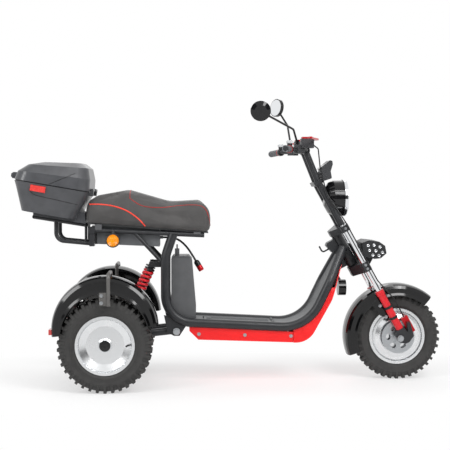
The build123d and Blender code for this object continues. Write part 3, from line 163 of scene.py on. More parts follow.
def powder_coat(name, dark, light):
    """Satin powder coat on steel: a faint orange peel breaks the long highlights."""
    material, tree, into, place = base_finish(name, dark, Specular_IOR_Level=0.4)
    cloud = add(tree, "ShaderNodeTexNoise", {"Vector": place, "Scale": per_metre(60), "Detail": 3.0})
    peel = add(tree, "ShaderNodeTexNoise", {"Vector": place, "Scale": per_metre(2.2), "Detail": 2.0})
    add(tree, "ShaderNodeMixRGB", {"Fac": cloud, "Color1": dark, "Color2": light}, into["Base Color"])
    add(tree, "ShaderNodeMapRange", {"Value": cloud, "To Min": 0.26, "To Max": 0.46}, into["Roughness"])
    add(tree, "ShaderNodeBump", {"Height": peel, "Strength": 0.12, "Distance": 0.2 * MM}, into["Normal"])
    return material


def gloss_abs(name, dark, light):
    """Polished black ABS moulding: deep colour, sharp reflections, a trace of dust in the gloss."""
    material, tree, into, place = base_finish(name, dark, Specular_IOR_Level=0.4)
    dust = add(tree, "ShaderNodeTexNoise", {"Vector": place, "Scale": per_metre(35), "Detail": 6.0})
    add(tree, "ShaderNodeMixRGB", {"Fac": dust, "Color1": dark, "Color2": light}, into["Base Color"])
    add(tree, "ShaderNodeMapRange", {"Value": dust, "To Min": 0.04, "To Max": 0.14}, into["Roughness"])
    return material


def moulded_plastic(name, dark, light, cell_mm, deep_mm, rough):
    """Spark-textured moulded plastic: small pebbles scatter the light, so it looks soft and grey."""
    material, tree, into, place = base_finish(name, dark, Roughness=rough, Specular_IOR_Level=0.4)
    cloud = add(tree, "ShaderNodeTexNoise", {"Vector": place, "Scale": per_metre(45), "Detail": 4.0})
    pebble = add(tree, "ShaderNodeTexVoronoi", {"Vector": place, "Scale": per_metre(cell_mm)})
    add(tree, "ShaderNodeMixRGB", {"Fac": cloud, "Color1": dark, "Color2": light}, into["Base Color"])
    add(tree, "ShaderNodeBump", {"Height": pebble, "Strength": 0.3, "Distance": deep_mm * MM}, into["Normal"])
    return material


def red_enamel(name, deep, bright):
    """Red enamel on sheet steel: a saturated colour under a thin clear coat."""
    material, tree, into, place = base_finish(name, bright, Roughness=0.34, Specular_IOR_Level=0.3,
                                              Coat_Weight=0.2, Coat_Roughness=0.08)
    cloud = add(tree, "ShaderNodeTexNoise", {"Vector": place, "Scale": per_metre(80), "Detail": 2.0})
    add(tree, "ShaderNodeMixRGB", {"Fac": cloud, "Color1": deep, "Color2": bright}, into["Base Color"])
    return material


def anodised_aluminium(name, deep, bright):
    """Anodised aluminium: metal that shines through a dyed skin."""
    material, tree, into, place = base_finish(name, bright, Metallic=0.5)
    satin = add(tree, "ShaderNodeTexNoise", {"Vector": place, "Scale": per_metre(1.5), "Detail": 3.0})
    add(tree, "ShaderNodeMixRGB", {"Fac": satin, "Color1": deep, "Color2": bright}, into["Base Color"])
    add(tree, "ShaderNodeMapRange", {"Value": satin, "To Min": 0.2, "To Max": 0.36}, into["Roughness"])
    return material


def turned_aluminium(name, painted_dim_reflection, bright, hub):
    """Lathe-turned, polished aluminium: fine rings about the hub draw the reflections out round the dish, and
    a cloud paints reflection streaks into its colour.
    """
    material, tree, into, place = base_finish(name, bright, Metallic=1.0)
    centred = add(tree, "ShaderNodeMapping", {"Vector": place, "Location": (-hub.x, 0, -hub.z)})
    # Real turning lines are finer than a tenth of a millimetre, so they are drawn coarser to show
    rings = add(tree, "ShaderNodeTexWave",
                {"Vector": centred, "Scale": wave_scale(2.83), "Distortion": 0.4, "Detail": 2.0},
                wave_type="RINGS", rings_direction="Y")
    # This cloud varies the gloss, and also paints the colour between a dim and a bright tone: painted
    # reflection blotches on the dish
    haze = add(tree, "ShaderNodeTexNoise", {"Vector": place, "Scale": per_metre(50), "Detail": 4.0})
    add(tree, "ShaderNodeMixRGB", {"Fac": haze, "Color1": painted_dim_reflection, "Color2": bright}, into["Base Color"])
    add(tree, "ShaderNodeMapRange", {"Value": haze, "To Min": 0.16, "To Max": 0.34}, into["Roughness"])
    add(tree, "ShaderNodeBump", {"Height": rings, "Strength": 0.08, "Distance": 0.1 * MM}, into["Normal"])
    return material


def machined_metal(name, colour, rough):
    """Bare machined metal: scratches too fine to see one by one, drawn as a soft change of gloss."""
    material, tree, into, place = base_finish(name, colour, Metallic=1.0)
    lines = add(tree, "ShaderNodeTexNoise", {"Vector": place, "Scale": per_metre(4), "Detail": 5.0})
    add(tree, "ShaderNodeMapRange", {"Value": lines, "To Min": rough * 0.6, "To Max": rough * 1.5},
        into["Roughness"])
    return material


def cast_aluminium(name, dark, light):
    """Sand-cast aluminium under thin paint: a slight roughness that dulls the metal."""
    material, tree, into, place = base_finish(name, dark, Metallic=0.5)
    sand = add(tree, "ShaderNodeTexNoise", {"Vector": place, "Scale": per_metre(1.8), "Detail": 4.0})
    add(tree, "ShaderNodeMixRGB", {"Fac": sand, "Color1": dark, "Color2": light}, into["Base Color"])
    add(tree, "ShaderNodeMapRange", {"Value": sand, "To Min": 0.36, "To Max": 0.55}, into["Roughness"])
    add(tree, "ShaderNodeBump", {"Height": sand, "Strength": 0.25, "Distance": 0.25 * MM}, into["Normal"])
    return material


def tyre_rubber(name, dark, dusty):
    """Carbon-black tyre rubber: matt, a little grey where road dust sits."""
    material, tree, into, place = base_finish(name, dark, Specular_IOR_Level=0.4)
    dust = add(tree, "ShaderNodeTexNoise", {"Vector": place, "Scale": per_metre(28), "Detail": 6.0})
    fine = add(tree, "ShaderNodeTexNoise", {"Vector": place, "Scale": per_metre(1.6), "Detail": 3.0})
    add(tree, "ShaderNodeMixRGB", {"Fac": dust, "Color1": dark, "Color2": dusty}, into["Base Color"])
    add(tree, "ShaderNodeMapRange", {"Value": dust, "To Min": 0.5, "To Max": 0.85}, into["Roughness"])
    add(tree, "ShaderNodeBump", {"Height": fine, "Strength": 0.25, "Distance": 0.3 * MM}, into["Normal"])
    return material


def grip_rubber(name, dark, light):
    """Ribbed grip rubber: rings round the bar, bumped, with their crests painted lighter as stripes of
    painted highlight.
    """
    material, tree, into, place = base_finish(name, dark, Roughness=0.6)
    ribs = add(tree, "ShaderNodeTexWave", {"Vector": place, "Scale": wave_scale(4)}, bands_direction="Y")
    # The wave paints each rib's crest lighter: a painted highlight along every rib
    add(tree, "ShaderNodeMixRGB", {"Fac": ribs, "Color1": dark, "Color2": light}, into["Base Color"])
    add(tree, "ShaderNodeBump", {"Height": ribs, "Strength": 0.5, "Distance": 0.8 * MM}, into["Normal"])
    return material


def seat_vinyl(name, dark, light):
    """Embossed seat vinyl with a woven look: a tight basket of threads takes the shine off."""
    material, tree, into, place = base_finish(name, dark, Roughness=0.68, Sheen_Weight=0.15,
                                              Sheen_Roughness=0.5)
    # Real threads are about 1.5 mm apart, and are drawn at 3 mm to show
    warp = add(tree, "ShaderNodeTexWave", {"Vector": place, "Scale": wave_scale(3)}, bands_direction="X")
    weft = add(tree, "ShaderNodeTexWave", {"Vector": place, "Scale": wave_scale(3)}, bands_direction="Y")
    basket = add(tree, "ShaderNodeMath", {0: warp, 1: weft}, operation="MULTIPLY")
    cloud = add(tree, "ShaderNodeTexNoise", {"Vector": place, "Scale": per_metre(70), "Detail": 4.0})
    add(tree, "ShaderNodeMixRGB", {"Fac": cloud, "Color1": dark, "Color2": light}, into["Base Color"])
    add(tree, "ShaderNodeBump", {"Height": basket, "Strength": 0.35, "Distance": 0.5 * MM}, into["Normal"])
    return material


def lens(name, deep, bright, transmission, rough):
    """Moulded lens plastic: clear enough to show the reflector, with a hard gloss."""
    material, tree, into, place = base_finish(name, bright, Transmission_Weight=transmission, IOR=1.49)
    swirl = add(tree, "ShaderNodeTexNoise", {"Vector": place, "Scale": per_metre(20), "Detail": 2.0})
    add(tree, "ShaderNodeMixRGB", {"Fac": swirl, "Color1": deep, "Color2": bright}, into["Base Color"])
    add(tree, "ShaderNodeMapRange", {"Value": swirl, "To Min": rough * 0.6, "To Max": rough * 1.4},
        into["Roughness"])
    return material


def prism_reflector(name, deep, bright):
    """Corner-cube reflector: a grid of small prisms under clear plastic."""
    material, tree, into, place = base_finish(name, deep, Roughness=0.14, Coat_Weight=0.4)
    prisms = add(tree, "ShaderNodeTexVoronoi", {"Vector": place, "Scale": per_metre(4)}, distance="CHEBYCHEV")
    add(tree, "ShaderNodeMixRGB", {"Fac": prisms, "Color1": deep, "Color2": bright}, into["Base Color"])
    add(tree, "ShaderNodeBump", {"Height": prisms, "Strength": 0.3, "Distance": 0.5 * MM}, into["Normal"])
    return material


def silvered_mirror(name, colour):
    """Silvered glass: a clean image with a trace of haze."""
    material, tree, into, place = base_finish(name, colour, Metallic=1.0)
    haze = add(tree, "ShaderNodeTexNoise", {"Vector": place, "Scale": per_metre(25), "Detail": 2.0})
    add(tree, "ShaderNodeMapRange", {"Value": haze, "To Min": 0.01, "To Max": 0.04}, into["Roughness"])
    return material


# Dim and bright tone of the rims' metal; a cloud of painted reflection goes between them
RIM_TONES = ("d6d8da", "f0f1f2")

# Short name of each finish: the slot that it belongs to, its maker, its name, its colours, other values
FINISHES = {
    "frame": ("frame_paint", powder_coat, "satin_black_powder_coat", ("frame_dark", "frame_light")),
    "stay": ("stay_paint", powder_coat, "satin_grey_powder_coat", ("4c4b4a", "666462")),
    "motor": ("motor_paint", powder_coat, "baked_motor_paint", ("1c1d1f", "2c2d2f")),
    "gloss": ("fender_gloss", gloss_abs, "polished_black_abs", ("fender_dark", "fender_light")),
    "shell": ("shell_gloss", gloss_abs, "polished_lamp_shell_abs", ("0c0c0d", "19191b")),
    "deck": ("deck_plastic", moulded_plastic, "grained_deck_plastic", ("484a4c", "5e6062"), 2.6, 0.4, 0.5),
    "box": ("box_plastic", moulded_plastic, "satin_box_plastic", ("4a4b4d", "5e5f61"), 1.4, 0.06, 0.42),
    "control": ("box_plastic", moulded_plastic, "satin_control_plastic", ("2a2b2d", "3c3d40"),
                1.4, 0.06, 0.42),
    "black": ("box_plastic", moulded_plastic, "plain_black_plastic", ("101112", "1c1d1f"), 1.4, 0.1, 0.4),
    "white": ("box_plastic", moulded_plastic, "white_button_plastic", ("b4b6b8", "c8cacc"), 1.4, 0.1, 0.4),
    "case": ("case_plastic", moulded_plastic, "grained_case_plastic", ("case_dark", "case_light"),
             1.8, 0.15, 0.28),
    "pack": ("pack_casing", moulded_plastic, "battery_casing_plastic", ("303540", "3e4450"), 2.0, 0.2, 0.5),
    "red": ("red_paint", red_enamel, "red_sheet_enamel", ("panel_deep", "panel_bright")),
    "dark_red": ("red_paint", red_enamel, "red_fork_enamel", ("fork_deep", "fork_bright")),
    "red_metal": ("red_anodised", anodised_aluminium, "red_anodised_aluminium", ("a80c16", "d41622")),
    "piping": ("seat_vinyl", moulded_plastic, "red_piping_vinyl", ("e0301f", "f4503c"), 1.6, 0.1, 0.45),
    "thread": ("seat_vinyl", moulded_plastic, "dark_red_seam_thread", ("8e1a16", "b02a22"), 1.6, 0.1, 0.5),
    "rear_rim": ("rim_alloy", turned_aluminium, "turned_rear_rim_aluminium", RIM_TONES, REAR_HUB),
    "front_rim": ("rim_alloy", turned_aluminium, "turned_front_rim_aluminium", RIM_TONES, FRONT_HUB),
    "steel": ("steel", machined_metal, "machined_steel", ("b9bcbf",), 0.3),
    "chrome": ("chrome", machined_metal, "hard_chrome_plate", ("e2e4e6",), 0.06),
    "cast": ("controller_metal", cast_aluminium, "cast_grey_aluminium", ("6a6c6f", "7e8083")),
    "lamp": ("lamp_metal", cast_aluminium, "cast_black_aluminium", ("242527", "38393b")),
    "tyre": ("tyre", tyre_rubber, "moulded_tyre_rubber", ("252525", "424140")),
    "grip": ("grip_rubber", grip_rubber, "ribbed_grip_rubber", ("3a3b3e", "66686c")),
    "cord": ("cord_rubber", moulded_plastic, "extruded_cable_sheath", ("121314", "1e1f21"), 3.0, 0.1, 0.4),
    "vinyl": ("seat_vinyl", seat_vinyl, "embossed_seat_vinyl", ("seat_dark", "seat_light")),
    "amber": ("amber_lens", lens, "amber_signal_lens", ("f58c00", "ffa81a"), 0.1, 0.14),
    "clear": ("clear_lens", lens, "clear_lamp_lens", ("e8ecf0", "f4f7fa"), 0.95, 0.03),
    "reflector": ("red_reflector", prism_reflector, "red_prism_reflector", ("c0262a", "ec5a50")),
    "mirror": ("mirror", silvered_mirror, "silvered_mirror_glass", ("e8eaec",)),
}
MADE = {}


def finish(key):
    """A finish by its short name, made once."""
    if key not in MADE:
        maker, name, colours, *values = FINISHES[key][1:]
        MADE[key] = maker(name, *[tone(colour) for colour in colours], *values)
    return MADE[key]


# The solid pieces that have each finish
NODE_FINISH = {
    "frame": ["main_frame", "seat_frame", "axle_beam", "rack", "fork_clamps", "handlebar", "risers",
              "bag_hook", "axle_lugs"],
    "stay": ["fender_stay_right", "fender_stay_left"],
    "motor": ["drive_motor"],
    "gloss": ["rear_fender_right", "rear_fender_left", "front_fender", "horn"],
    "shell": ["headlight_shell", "mirrors"],
    "deck": ["deck_board", "deck_lid"],
    "box": ["battery_box", "seat_pan"],
    "control": ["signal_housings", "brake_cylinders", "instrument"],
    "case": ["case_base", "case_lid"],
    "pack": ["battery_pack"],
    "red": ["belly_pan", "front_panel"],
    "dark_red": ["fork_legs", "rear_shock_right", "rear_shock_left"],
    "red_metal": ["brake_levers", "caliper"],
    "rear_rim": ["rear_rim_right", "rear_rim_left"],
    "front_rim": ["front_rim"],
    "steel": ["brake_disc", "front_axle"],
    "chrome": ["fork_tubes"],
    "cast": ["controller_box"],
    "lamp": ["light_bar"],
    "tyre": ["rear_tyre_right", "rear_tyre_left", "front_tyre"],
    "grip": ["grips"],
    "cord": ["brake_hose", "battery_lead"],
    "black": ["lead_connector"],
    "vinyl": ["seat"],
    "amber": ["signal_lenses"],
    "clear": ["headlight_lens", "light_bar_lens"],
    "reflector": ["reflectors"],
    "mirror": ["mirror_glass"],
}


# Shapes

SHARP_ANGLE = math.radians(35)
# How far to the side a line starts before it is laid on a surface, in millimetres
BESIDE = 400


def lay(bm, place, along):
    """Turns a shape from its own upright axis to a direction, and moves it to a place."""
    turn = Vector(along).to_track_quat("Z", "Y").to_matrix().to_4x4()
    bmesh.ops.transform(bm, matrix=Matrix.Translation(place) @ turn, verts=bm.verts)
    return bm


def turned(profile, place, along, steps=40):
    """A turned shape: radius and height in millimetres, spun about a line through a place."""
    bm = bmesh.new()
    verts = [bm.verts.new((radius * MM, 0, height * MM)) for radius, height in profile]
    edges = [bm.edges.new(ends) for ends in zip(verts, verts[1:])]
    bmesh.ops.spin(bm, geom=verts + edges, cent=(0, 0, 0), axis=(0, 0, 1), angle=FULL_TURN, steps=steps,
                   use_merge=True)
    return lay(bm, place, along)


def block(size, round_mm, matrix):
    """A block with rounded edges, its sizes in millimetres, set in place by a matrix."""
    bm = bmesh.new()
    bmesh.ops.create_cube(bm, size=1)
    bmesh.ops.scale(bm, vec=[side * MM for side in size], verts=bm.verts)
    bmesh.ops.bevel(bm, geom=bm.edges, offset=round_mm * MM, segments=3, profile=0.5, affect="EDGES",
                    material=-1)
    bmesh.ops.transform(bm, matrix=matrix, verts=bm.verts)
    return bm


# Thickness of a bolt's washer in millimetres, and sizes of washer and head in radii of the head
WASHER_THICKNESS = 1.6
WASHER_FOOT = 1.45
WASHER_TOP = 1.35
HEAD_HEIGHT = 0.75


def bolt(place, along, radius):
    """A hexagon head on its washer, standing on a face."""
    washer = WASHER_THICKNESS * MM
    head = HEAD_HEIGHT * radius * MM
    bm = bmesh.new()
    bmesh.ops.create_cone(bm, cap_ends=True, segments=28, radius1=WASHER_FOOT * radius * MM,
                          radius2=WASHER_TOP * radius * MM, depth=washer,
                          matrix=Matrix.Translation((0, 0, washer / 2)))
    bmesh.ops.create_cone(bm, cap_ends=True, segments=6, radius1=radius * MM, radius2=radius * MM, depth=head,
                          matrix=Matrix.Translation((0, 0, washer + head / 2)))
    return lay(bm, place, along)


def show(name, data, key, body):
    """Puts a mesh or a curve into the scene with its finish, riding on a body."""
    data.materials.clear()
    data.materials.append(finish(key))
    obj = bpy.data.objects.new(name, data)
    bpy.context.scene.collection.objects.link(obj)
    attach(obj, body)
    return obj


def piece(name, shapes, key, body, both_sides=False):
    """Makes one piece of some shapes, on both sides of the trike where asked."""
    bm = bmesh.new()
    for shape in shapes:
        part = bpy.data.meshes.new(name)
        shape.to_mesh(part)
        shape.free()
        bm.from_mesh(part)
        bpy.data.meshes.remove(part)
    if both_sides:
        bmesh.ops.mirror(bm, geom=bm.verts[:] + bm.edges[:] + bm.faces[:], matrix=Matrix.Identity(4),
                         merge_dist=0, axis="Y")
    bmesh.ops.remove_doubles(bm, verts=bm.verts, dist=0.001 * MM)
    bmesh.ops.recalc_face_normals(bm, faces=bm.faces)
    mesh = bpy.data.meshes.new(name)
    bm.to_mesh(mesh)
    bm.free()
    mesh.shade_smooth()
    mesh.set_sharp_from_angle(angle=SHARP_ANGLE)
    return show(name, mesh, key, body)


def cord_curve(name, routes, radius):
    """A round cord along smooth lines, its radius in metres."""
    curve = bpy.data.curves.new(name, "CURVE")
    curve.dimensions = "3D"
    curve.bevel_depth = radius
    curve.bevel_resolution = 4
    curve.use_fill_caps = True
    for route in routes:
        spline = curve.splines.new("NURBS")
        spline.points.add(len(route) - 1)
        for point, place in zip(spline.points, route):
            point.co = (*place, 1)
        spline.order_u = 3
        spline.use_endpoint_u = True
        spline.resolution_u = 8
    return curve


def surface(mesh):
    """A mesh made ready for finding points on its surface."""
    points = [vert.co for vert in mesh.vertices]
    return BVHTree.FromPolygons(points, [face.vertices for face in mesh.polygons])


def side_line(tree, line, side):
    """A smooth line through places of a side view, laid on a surface from the right or the left."""
    curve = cord_curve("side_line", [[at(x, side * BESIDE, z) for x, z in line]], 0)
    guide = bpy.data.objects.new("side_line", curve)
    mesh = bpy.data.meshes.new_from_object(guide)
    hits = [tree.ray_cast(vert.co, (0, -side, 0))[0] for vert in mesh.vertices]
    bpy.data.objects.remove(guide)
    bpy.data.curves.remove(curve)
    bpy.data.meshes.remove(mesh)
    return [hit for hit in hits if hit is not None]


# Settings

def colour_setting(name, description, hex_colour):
    """A colour that a user can change."""
    return bpy.props.FloatVectorProperty(name=name, description=description, subtype="COLOR", size=4, min=0,
                                         max=1, default=linear(hex_colour))


def length_setting(name, description, metres):
    """A length that a user can change."""
    return bpy.props.FloatProperty(name=name, description=description, default=metres, precision=4,
                                   unit="LENGTH")


def angle_setting(name, description, degrees):
    """An angle that a user can change."""
    return bpy.props.FloatProperty(name=name, description=description, default=math.radians(degrees),
                                   subtype="ANGLE")


class TrikeSettings(bpy.types.PropertyGroup):
    """Sizes and colours that a user would change"""

    panel_bright: colour_setting("Panel red", "Red of the belly pan and the front panel", "f4181a")
    panel_deep: colour_setting("Panel red, deep", "Deeper clouds in that red", "dc0e12")
    fork_bright: colour_setting("Fork red", "Red of the fork legs and the springs", "dc2630")
    fork_deep: colour_setting("Fork red, deep", "Deeper clouds in that red", "c01822")
    frame_dark: colour_setting("Frame", "Powder coat of the frame", "202123")
    frame_light: colour_setting("Frame, light", "Lighter clouds in the powder coat", "303134")
    fender_dark: colour_setting("Fenders", "Polished plastic of the fenders", "050506")
    fender_light: colour_setting("Fenders, light", "Dust on the polished plastic", "0b0b0c")
    case_dark: colour_setting("Case", "Plastic of the top case", "3a3b3e")
    case_light: colour_setting("Case, light", "Lighter clouds in the plastic", "505154")
    seat_dark: colour_setting("Seat", "Vinyl of the seat", "323131")
    seat_light: colour_setting("Seat, light", "Lighter clouds in the vinyl", "484645")
    floor_colour: colour_setting("Floor", "Colour of the studio floor", "f7f7f7")
    seat_swell: length_setting("Seat swell", "How far the seat's cover may bulge", 9 * MM)
    piping_radius: length_setting("Piping radius", "Half the thickness of the seat's piping", 3.2 * MM)
    seam_radius: length_setting("Seam radius", "Half the thickness of the seat's seam", 1.8 * MM)
    spring_wire: length_setting("Spring wire", "Half the thickness of the spring's wire", 6.5 * MM)
    spring_turns: bpy.props.IntProperty(
        name="Spring turns", description="Coils of each rear spring", default=5, min=3, max=12)
    camera_distance: length_setting("Camera distance", "From the camera to the trike's middle plane", 4.7)
    camera_height: length_setting("Camera height", "Above the floor", 0.921)
    camera_along: length_setting("Camera place", "Along the trike, from its middle", at(-213, 0, 0).x)
    camera_yaw: angle_setting("Yaw", "Turn to the right of straight across", 2.6)
    camera_pitch: angle_setting("Pitch", "Tilt down", 2.07)
    lens_mm: bpy.props.FloatProperty(
        name="Lens", description="Focal length on a sensor 36 mm wide", default=77.5, unit="CAMERA")


# Operators: the finishes of the solid pieces, then each group of new pieces, then the studio

class TRIKE_OT_finishes(bpy.types.Operator):
    """Gives every solid piece its finish"""

    bl_idname = "trike.finishes"
    bl_label = "Finishes"

    def execute(self, context):
        for key, nodes in NODE_FINISH.items():
            for node in nodes:
                mesh = NODES[node].data
                mesh.materials.clear()
                mesh.materials.append(finish(key))
        return {"FINISHED"}


# The battery lead's route and its connector, in millimetres
LEAD_ROUTE = [(-301, 40, 690), (-269, 40, 690), (-236, 38, 684), (-207, 36, 666), (-180, 33, 637),
              (-159, 30, 605), (-142, 27, 577)]
LEAD_RADIUS = 5
CONNECTOR_BACK = [(0, 0), (6, 0), (10, 2), (13, 7), (14, 11), (14, 30), (0, 30)]
CONNECTOR_FRONT = [(0, 30), (13, 30), (14, 32), (14, 52), (12, 57), (9, 58), (0, 58)]


class TRIKE_OT_battery_lead(bpy.types.Operator):
    """Hangs the free battery lead under the seat, with its connector"""

    bl_idname = "trike.battery_lead"
    bl_label = "Battery lead"

    def execute(self, context):
        route = [at(*place) for place in LEAD_ROUTE]
        run = route[-1] - route[-2]
        back = piece("connector_back", [turned(CONNECTOR_BACK, route[-1], run)], "black", "chassis")
        front = piece("connector_front", [turned(CONNECTOR_FRONT, route[-1], run)], "red_metal", "chassis")
        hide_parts("lead_connector")
        curve = cord_curve("battery_lead_cord", [route], LEAD_RADIUS * MM)
        lead = show("battery_lead_cord", curve, "cord", "chassis")
        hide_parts("battery_lead")
        return {"FINISHED"}


# Lines of the seat's piping in side view, in millimetres
REAR_PIPING = [(-655, 854), (-597, 855), (-539, 848), (-494, 836), (-459, 820), (-423, 795), (-396, 770),
               (-378, 746)]
FRONT_SEAM = [(-454, 883), (-423, 858), (-387, 843), (-338, 838), (-284, 839), (-230, 847), (-181, 850),
              (-145, 851), (-113, 846), (-95, 828), (-84, 801), (-77, 770), (-75, 752)]
SEAM_STEPS = 20
# Height in metres from which the seam is laid across the seat
ABOVE_SEAT = 1.2
# The cover starts a little smaller than the solid, because it swells, and is held where it faces down
COVER_SCALE = (0.985, 0.96, 0.985)
BASE_FACING = -0.6
# The cells of its even skin in millimetres, and its air pressure over so many frames
SEAT_VOXEL = 6
PAD_PRESSURE = 4
PAD_STEPS = 20


class TRIKE_OT_seat(bpy.types.Operator):
    """Pads the long seat and sews its piping on"""

    bl_idname = "trike.seat"
    bl_label = "Seat"

    def execute(self, context):
        bm = bmesh.new()
        bm.from_mesh(NODES["seat"].data)
        bmesh.ops.remove_doubles(bm, verts=bm.verts, dist=0.01 * MM)
        bmesh.ops.scale(bm, vec=COVER_SCALE, space=Matrix.Translation(-middle("seat")), verts=bm.verts)
        mesh = bpy.data.meshes.new("seat_cover")
        bm.to_mesh(mesh)
        bm.free()
        mesh = self.remesh(context, mesh)
        mesh = self.swell(context, mesh)
        mesh.shade_smooth()
        seat = show("padded_seat", mesh, "vinyl", "chassis")
        subdivision = seat.modifiers.new("smooth_cover", "SUBSURF")
        subdivision.levels = 1
        subdivision.render_levels = 1
        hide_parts("seat")
        self.sew_piping(context, surface(mesh))
        return {"FINISHED"}

    def remesh(self, context, mesh):
        """Gives the cover an even skin."""
        cover = bpy.data.objects.new("seat_cover", mesh)
        context.scene.collection.objects.link(cover)
        voxels = cover.modifiers.new("even_skin", "REMESH")
        voxels.mode = "VOXEL"
        voxels.voxel_size = SEAT_VOXEL * MM
        even = bpy.data.meshes.new_from_object(cover.evaluated_get(context.evaluated_depsgraph_get()))
        bpy.data.objects.remove(cover)
        return even

    def swell(self, context, mesh):
        """Blows the cover up, held along its base, and no further than its cap."""
        cover = bpy.data.objects.new("seat_cover", mesh)
        context.scene.collection.objects.link(cover)
        base = cover.vertex_groups.new(name="base")
        base.add([vert.index for vert in mesh.vertices if vert.normal.z < BASE_FACING], 1.0, "REPLACE")
        cloth = cover.modifiers.new("air", "CLOTH")
        cloth.settings.vertex_group_mass = "base"
        cloth.settings.use_pressure = True
        cloth.settings.uniform_pressure_force = PAD_PRESSURE
        cloth.settings.effector_weights.gravity = 0
        for step in range(1, PAD_STEPS + 1):
            context.scene.frame_set(step)
        swollen = bpy.data.meshes.new_from_object(cover.evaluated_get(context.evaluated_depsgraph_get()))
        cap = context.scene.trike.seat_swell
        for moved, rest in zip(swollen.vertices, mesh.vertices):
            bulge = moved.co - rest.co
            if bulge.length > cap:
                moved.co = rest.co + bulge.normalized() * cap
        context.scene.frame_set(1)
        bpy.data.objects.remove(cover)
        return swollen

    def sew_piping(self, context, tree):
        """Lays red piping on the rear half, and a seam along the front half and across the step."""
        settings = context.scene.trike
        piping = [side_line(tree, REAR_PIPING, side) for side in (-1, 1)]
        show("seat_piping", cord_curve("seat_piping", piping, settings.piping_radius), "piping", "chassis")
        right, left = [side_line(tree, FRONT_SEAM, side) for side in (-1, 1)]
        steps = [right[0].lerp(left[0], index / SEAM_STEPS) for index in range(SEAM_STEPS + 1)]
        across = [tree.ray_cast((place.x, place.y, ABOVE_SEAT), (0, 0, -1))[0] for place in steps]
        seam = cord_curve("seat_seam", [right, left, across], settings.seam_radius)
        show("seat_seam", seam, "thread", "chassis")


# A shock's eyes and spring, in millimetres
SHOCK_EYE = 14
SPRING_LENGTH = 112
SPRING_RADIUS = 20
SPRING_TOP = 26
COIL_STEPS = 32
WIRE_SIDES = 10
EYE_RING = [(6, -12), (14, -12), (14, 12), (6, 12), (6, -12)]


class TRIKE_OT_shocks(bpy.types.Operator):
    """Makes the rear shocks: black dampers with red springs over them"""

    bl_idname = "trike.shocks"
    bl_label = "Rear shocks"

    def execute(self, context):
        for side in ("right", "left"):
            node = f"rear_shock_{side}"
            low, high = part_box(node)
            across = (low.y + high.y) / 2
            foot = Vector((low.x + SHOCK_EYE * MM, across, low.z + SHOCK_EYE * MM))
            top = Vector((high.x - SHOCK_EYE * MM, across, high.z - SHOCK_EYE * MM))
            along = top - foot
            length = along.length / MM
            seat_high = length - SPRING_TOP
            seat_low = seat_high - SPRING_LENGTH
            damper = [(0, 8), (13, 8), (17, 14), (17, seat_low - 22), (21, seat_low - 18), (27, seat_low - 8),
                      (27, seat_low), (11, seat_low), (11, seat_high), (25, seat_high), (25, seat_high + 6),
                      (12, seat_high + 10), (10, length - 8), (0, length - 8)]
            shapes = [turned(damper, foot, along)]
            shapes += [turned(EYE_RING, place, (0, 1, 0)) for place in (foot, top)]
            body = piece(f"shock_damper_{side}", shapes, "black", "chassis")
            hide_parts(node)
            spring = self.coil(context.scene.trike, seat_low, seat_high)
            piece(f"shock_spring_{side}", [lay(spring, foot, along)], "dark_red", "chassis")
        return {"FINISHED"}

    def coil(self, settings, low, high):
        """A coil spring between its two seats."""
        wire = settings.spring_wire
        steps = COIL_STEPS * settings.spring_turns
        rise = ((high - low) * MM - 2 * wire) / steps
        start = Matrix.Translation((SPRING_RADIUS * MM, 0, low * MM + wire))
        upright = Matrix.Rotation(math.radians(90), 4, "X")
        bm = bmesh.new()
        ring = bmesh.ops.create_circle(bm, segments=WIRE_SIDES, radius=wire, matrix=start @ upright)
        edges = list({edge for vert in ring["verts"] for edge in vert.link_edges})
        bmesh.ops.spin(bm, geom=ring["verts"] + edges, cent=(0, 0, 0), axis=(0, 0, 1), dvec=(0, 0, rise),
                       angle=FULL_TURN * settings.spring_turns, steps=steps)
        bmesh.ops.holes_fill(bm, edges=bm.edges)
        return bm


# Beads pressed into the fenders: centre and radius in side view, first and last angle, face of the skirt
REAR_BEAD = ((REAR_AXLE[0], 256), 207, 15, 176, 351)
FRONT_BEAD = (FRONT_AXLE, 207, 52, 199, 70)
BEAD = [(-9, -1), (-8, 3), (-4, 4.6), (9, -1)]
BEAD_STEPS = 72


class TRIKE_OT_fender_beads(bpy.types.Operator):
    """Adds the rounded beads along the fenders' skirts"""

    bl_idname = "trike.fender_beads"
    bl_label = "Fender beads"

    def execute(self, context):
        for name, bead, body in (("rear", REAR_BEAD, "chassis"), ("front", FRONT_BEAD, "steering")):
            piece(f"{name}_fender_beads", [self.arc(*bead)], "gloss", body, both_sides=True)
        return {"FINISHED"}

    def arc(self, centre, radius, first, last, face):
        """A strip on the right face, swept from one angle to another over the top."""
        bm = bmesh.new()
        corners = [bm.verts.new(((radius + out) * MM, -(face + proud) * MM, 0)) for out, proud in BEAD]
        start = bm.faces.new(corners)
        bmesh.ops.spin(bm, geom=[start], cent=(0, 0, 0), axis=(0, -1, 0), angle=math.radians(last - first),
                       steps=BEAD_STEPS)
        turn = Matrix.Rotation(math.radians(-first), 4, "Y")
        place = Matrix.Translation(at(centre[0], 0, centre[1]))
        bmesh.ops.transform(bm, matrix=place @ turn, verts=bm.verts)
        return bm


# Straight out on the right side
OUT = (0, -1, 0)

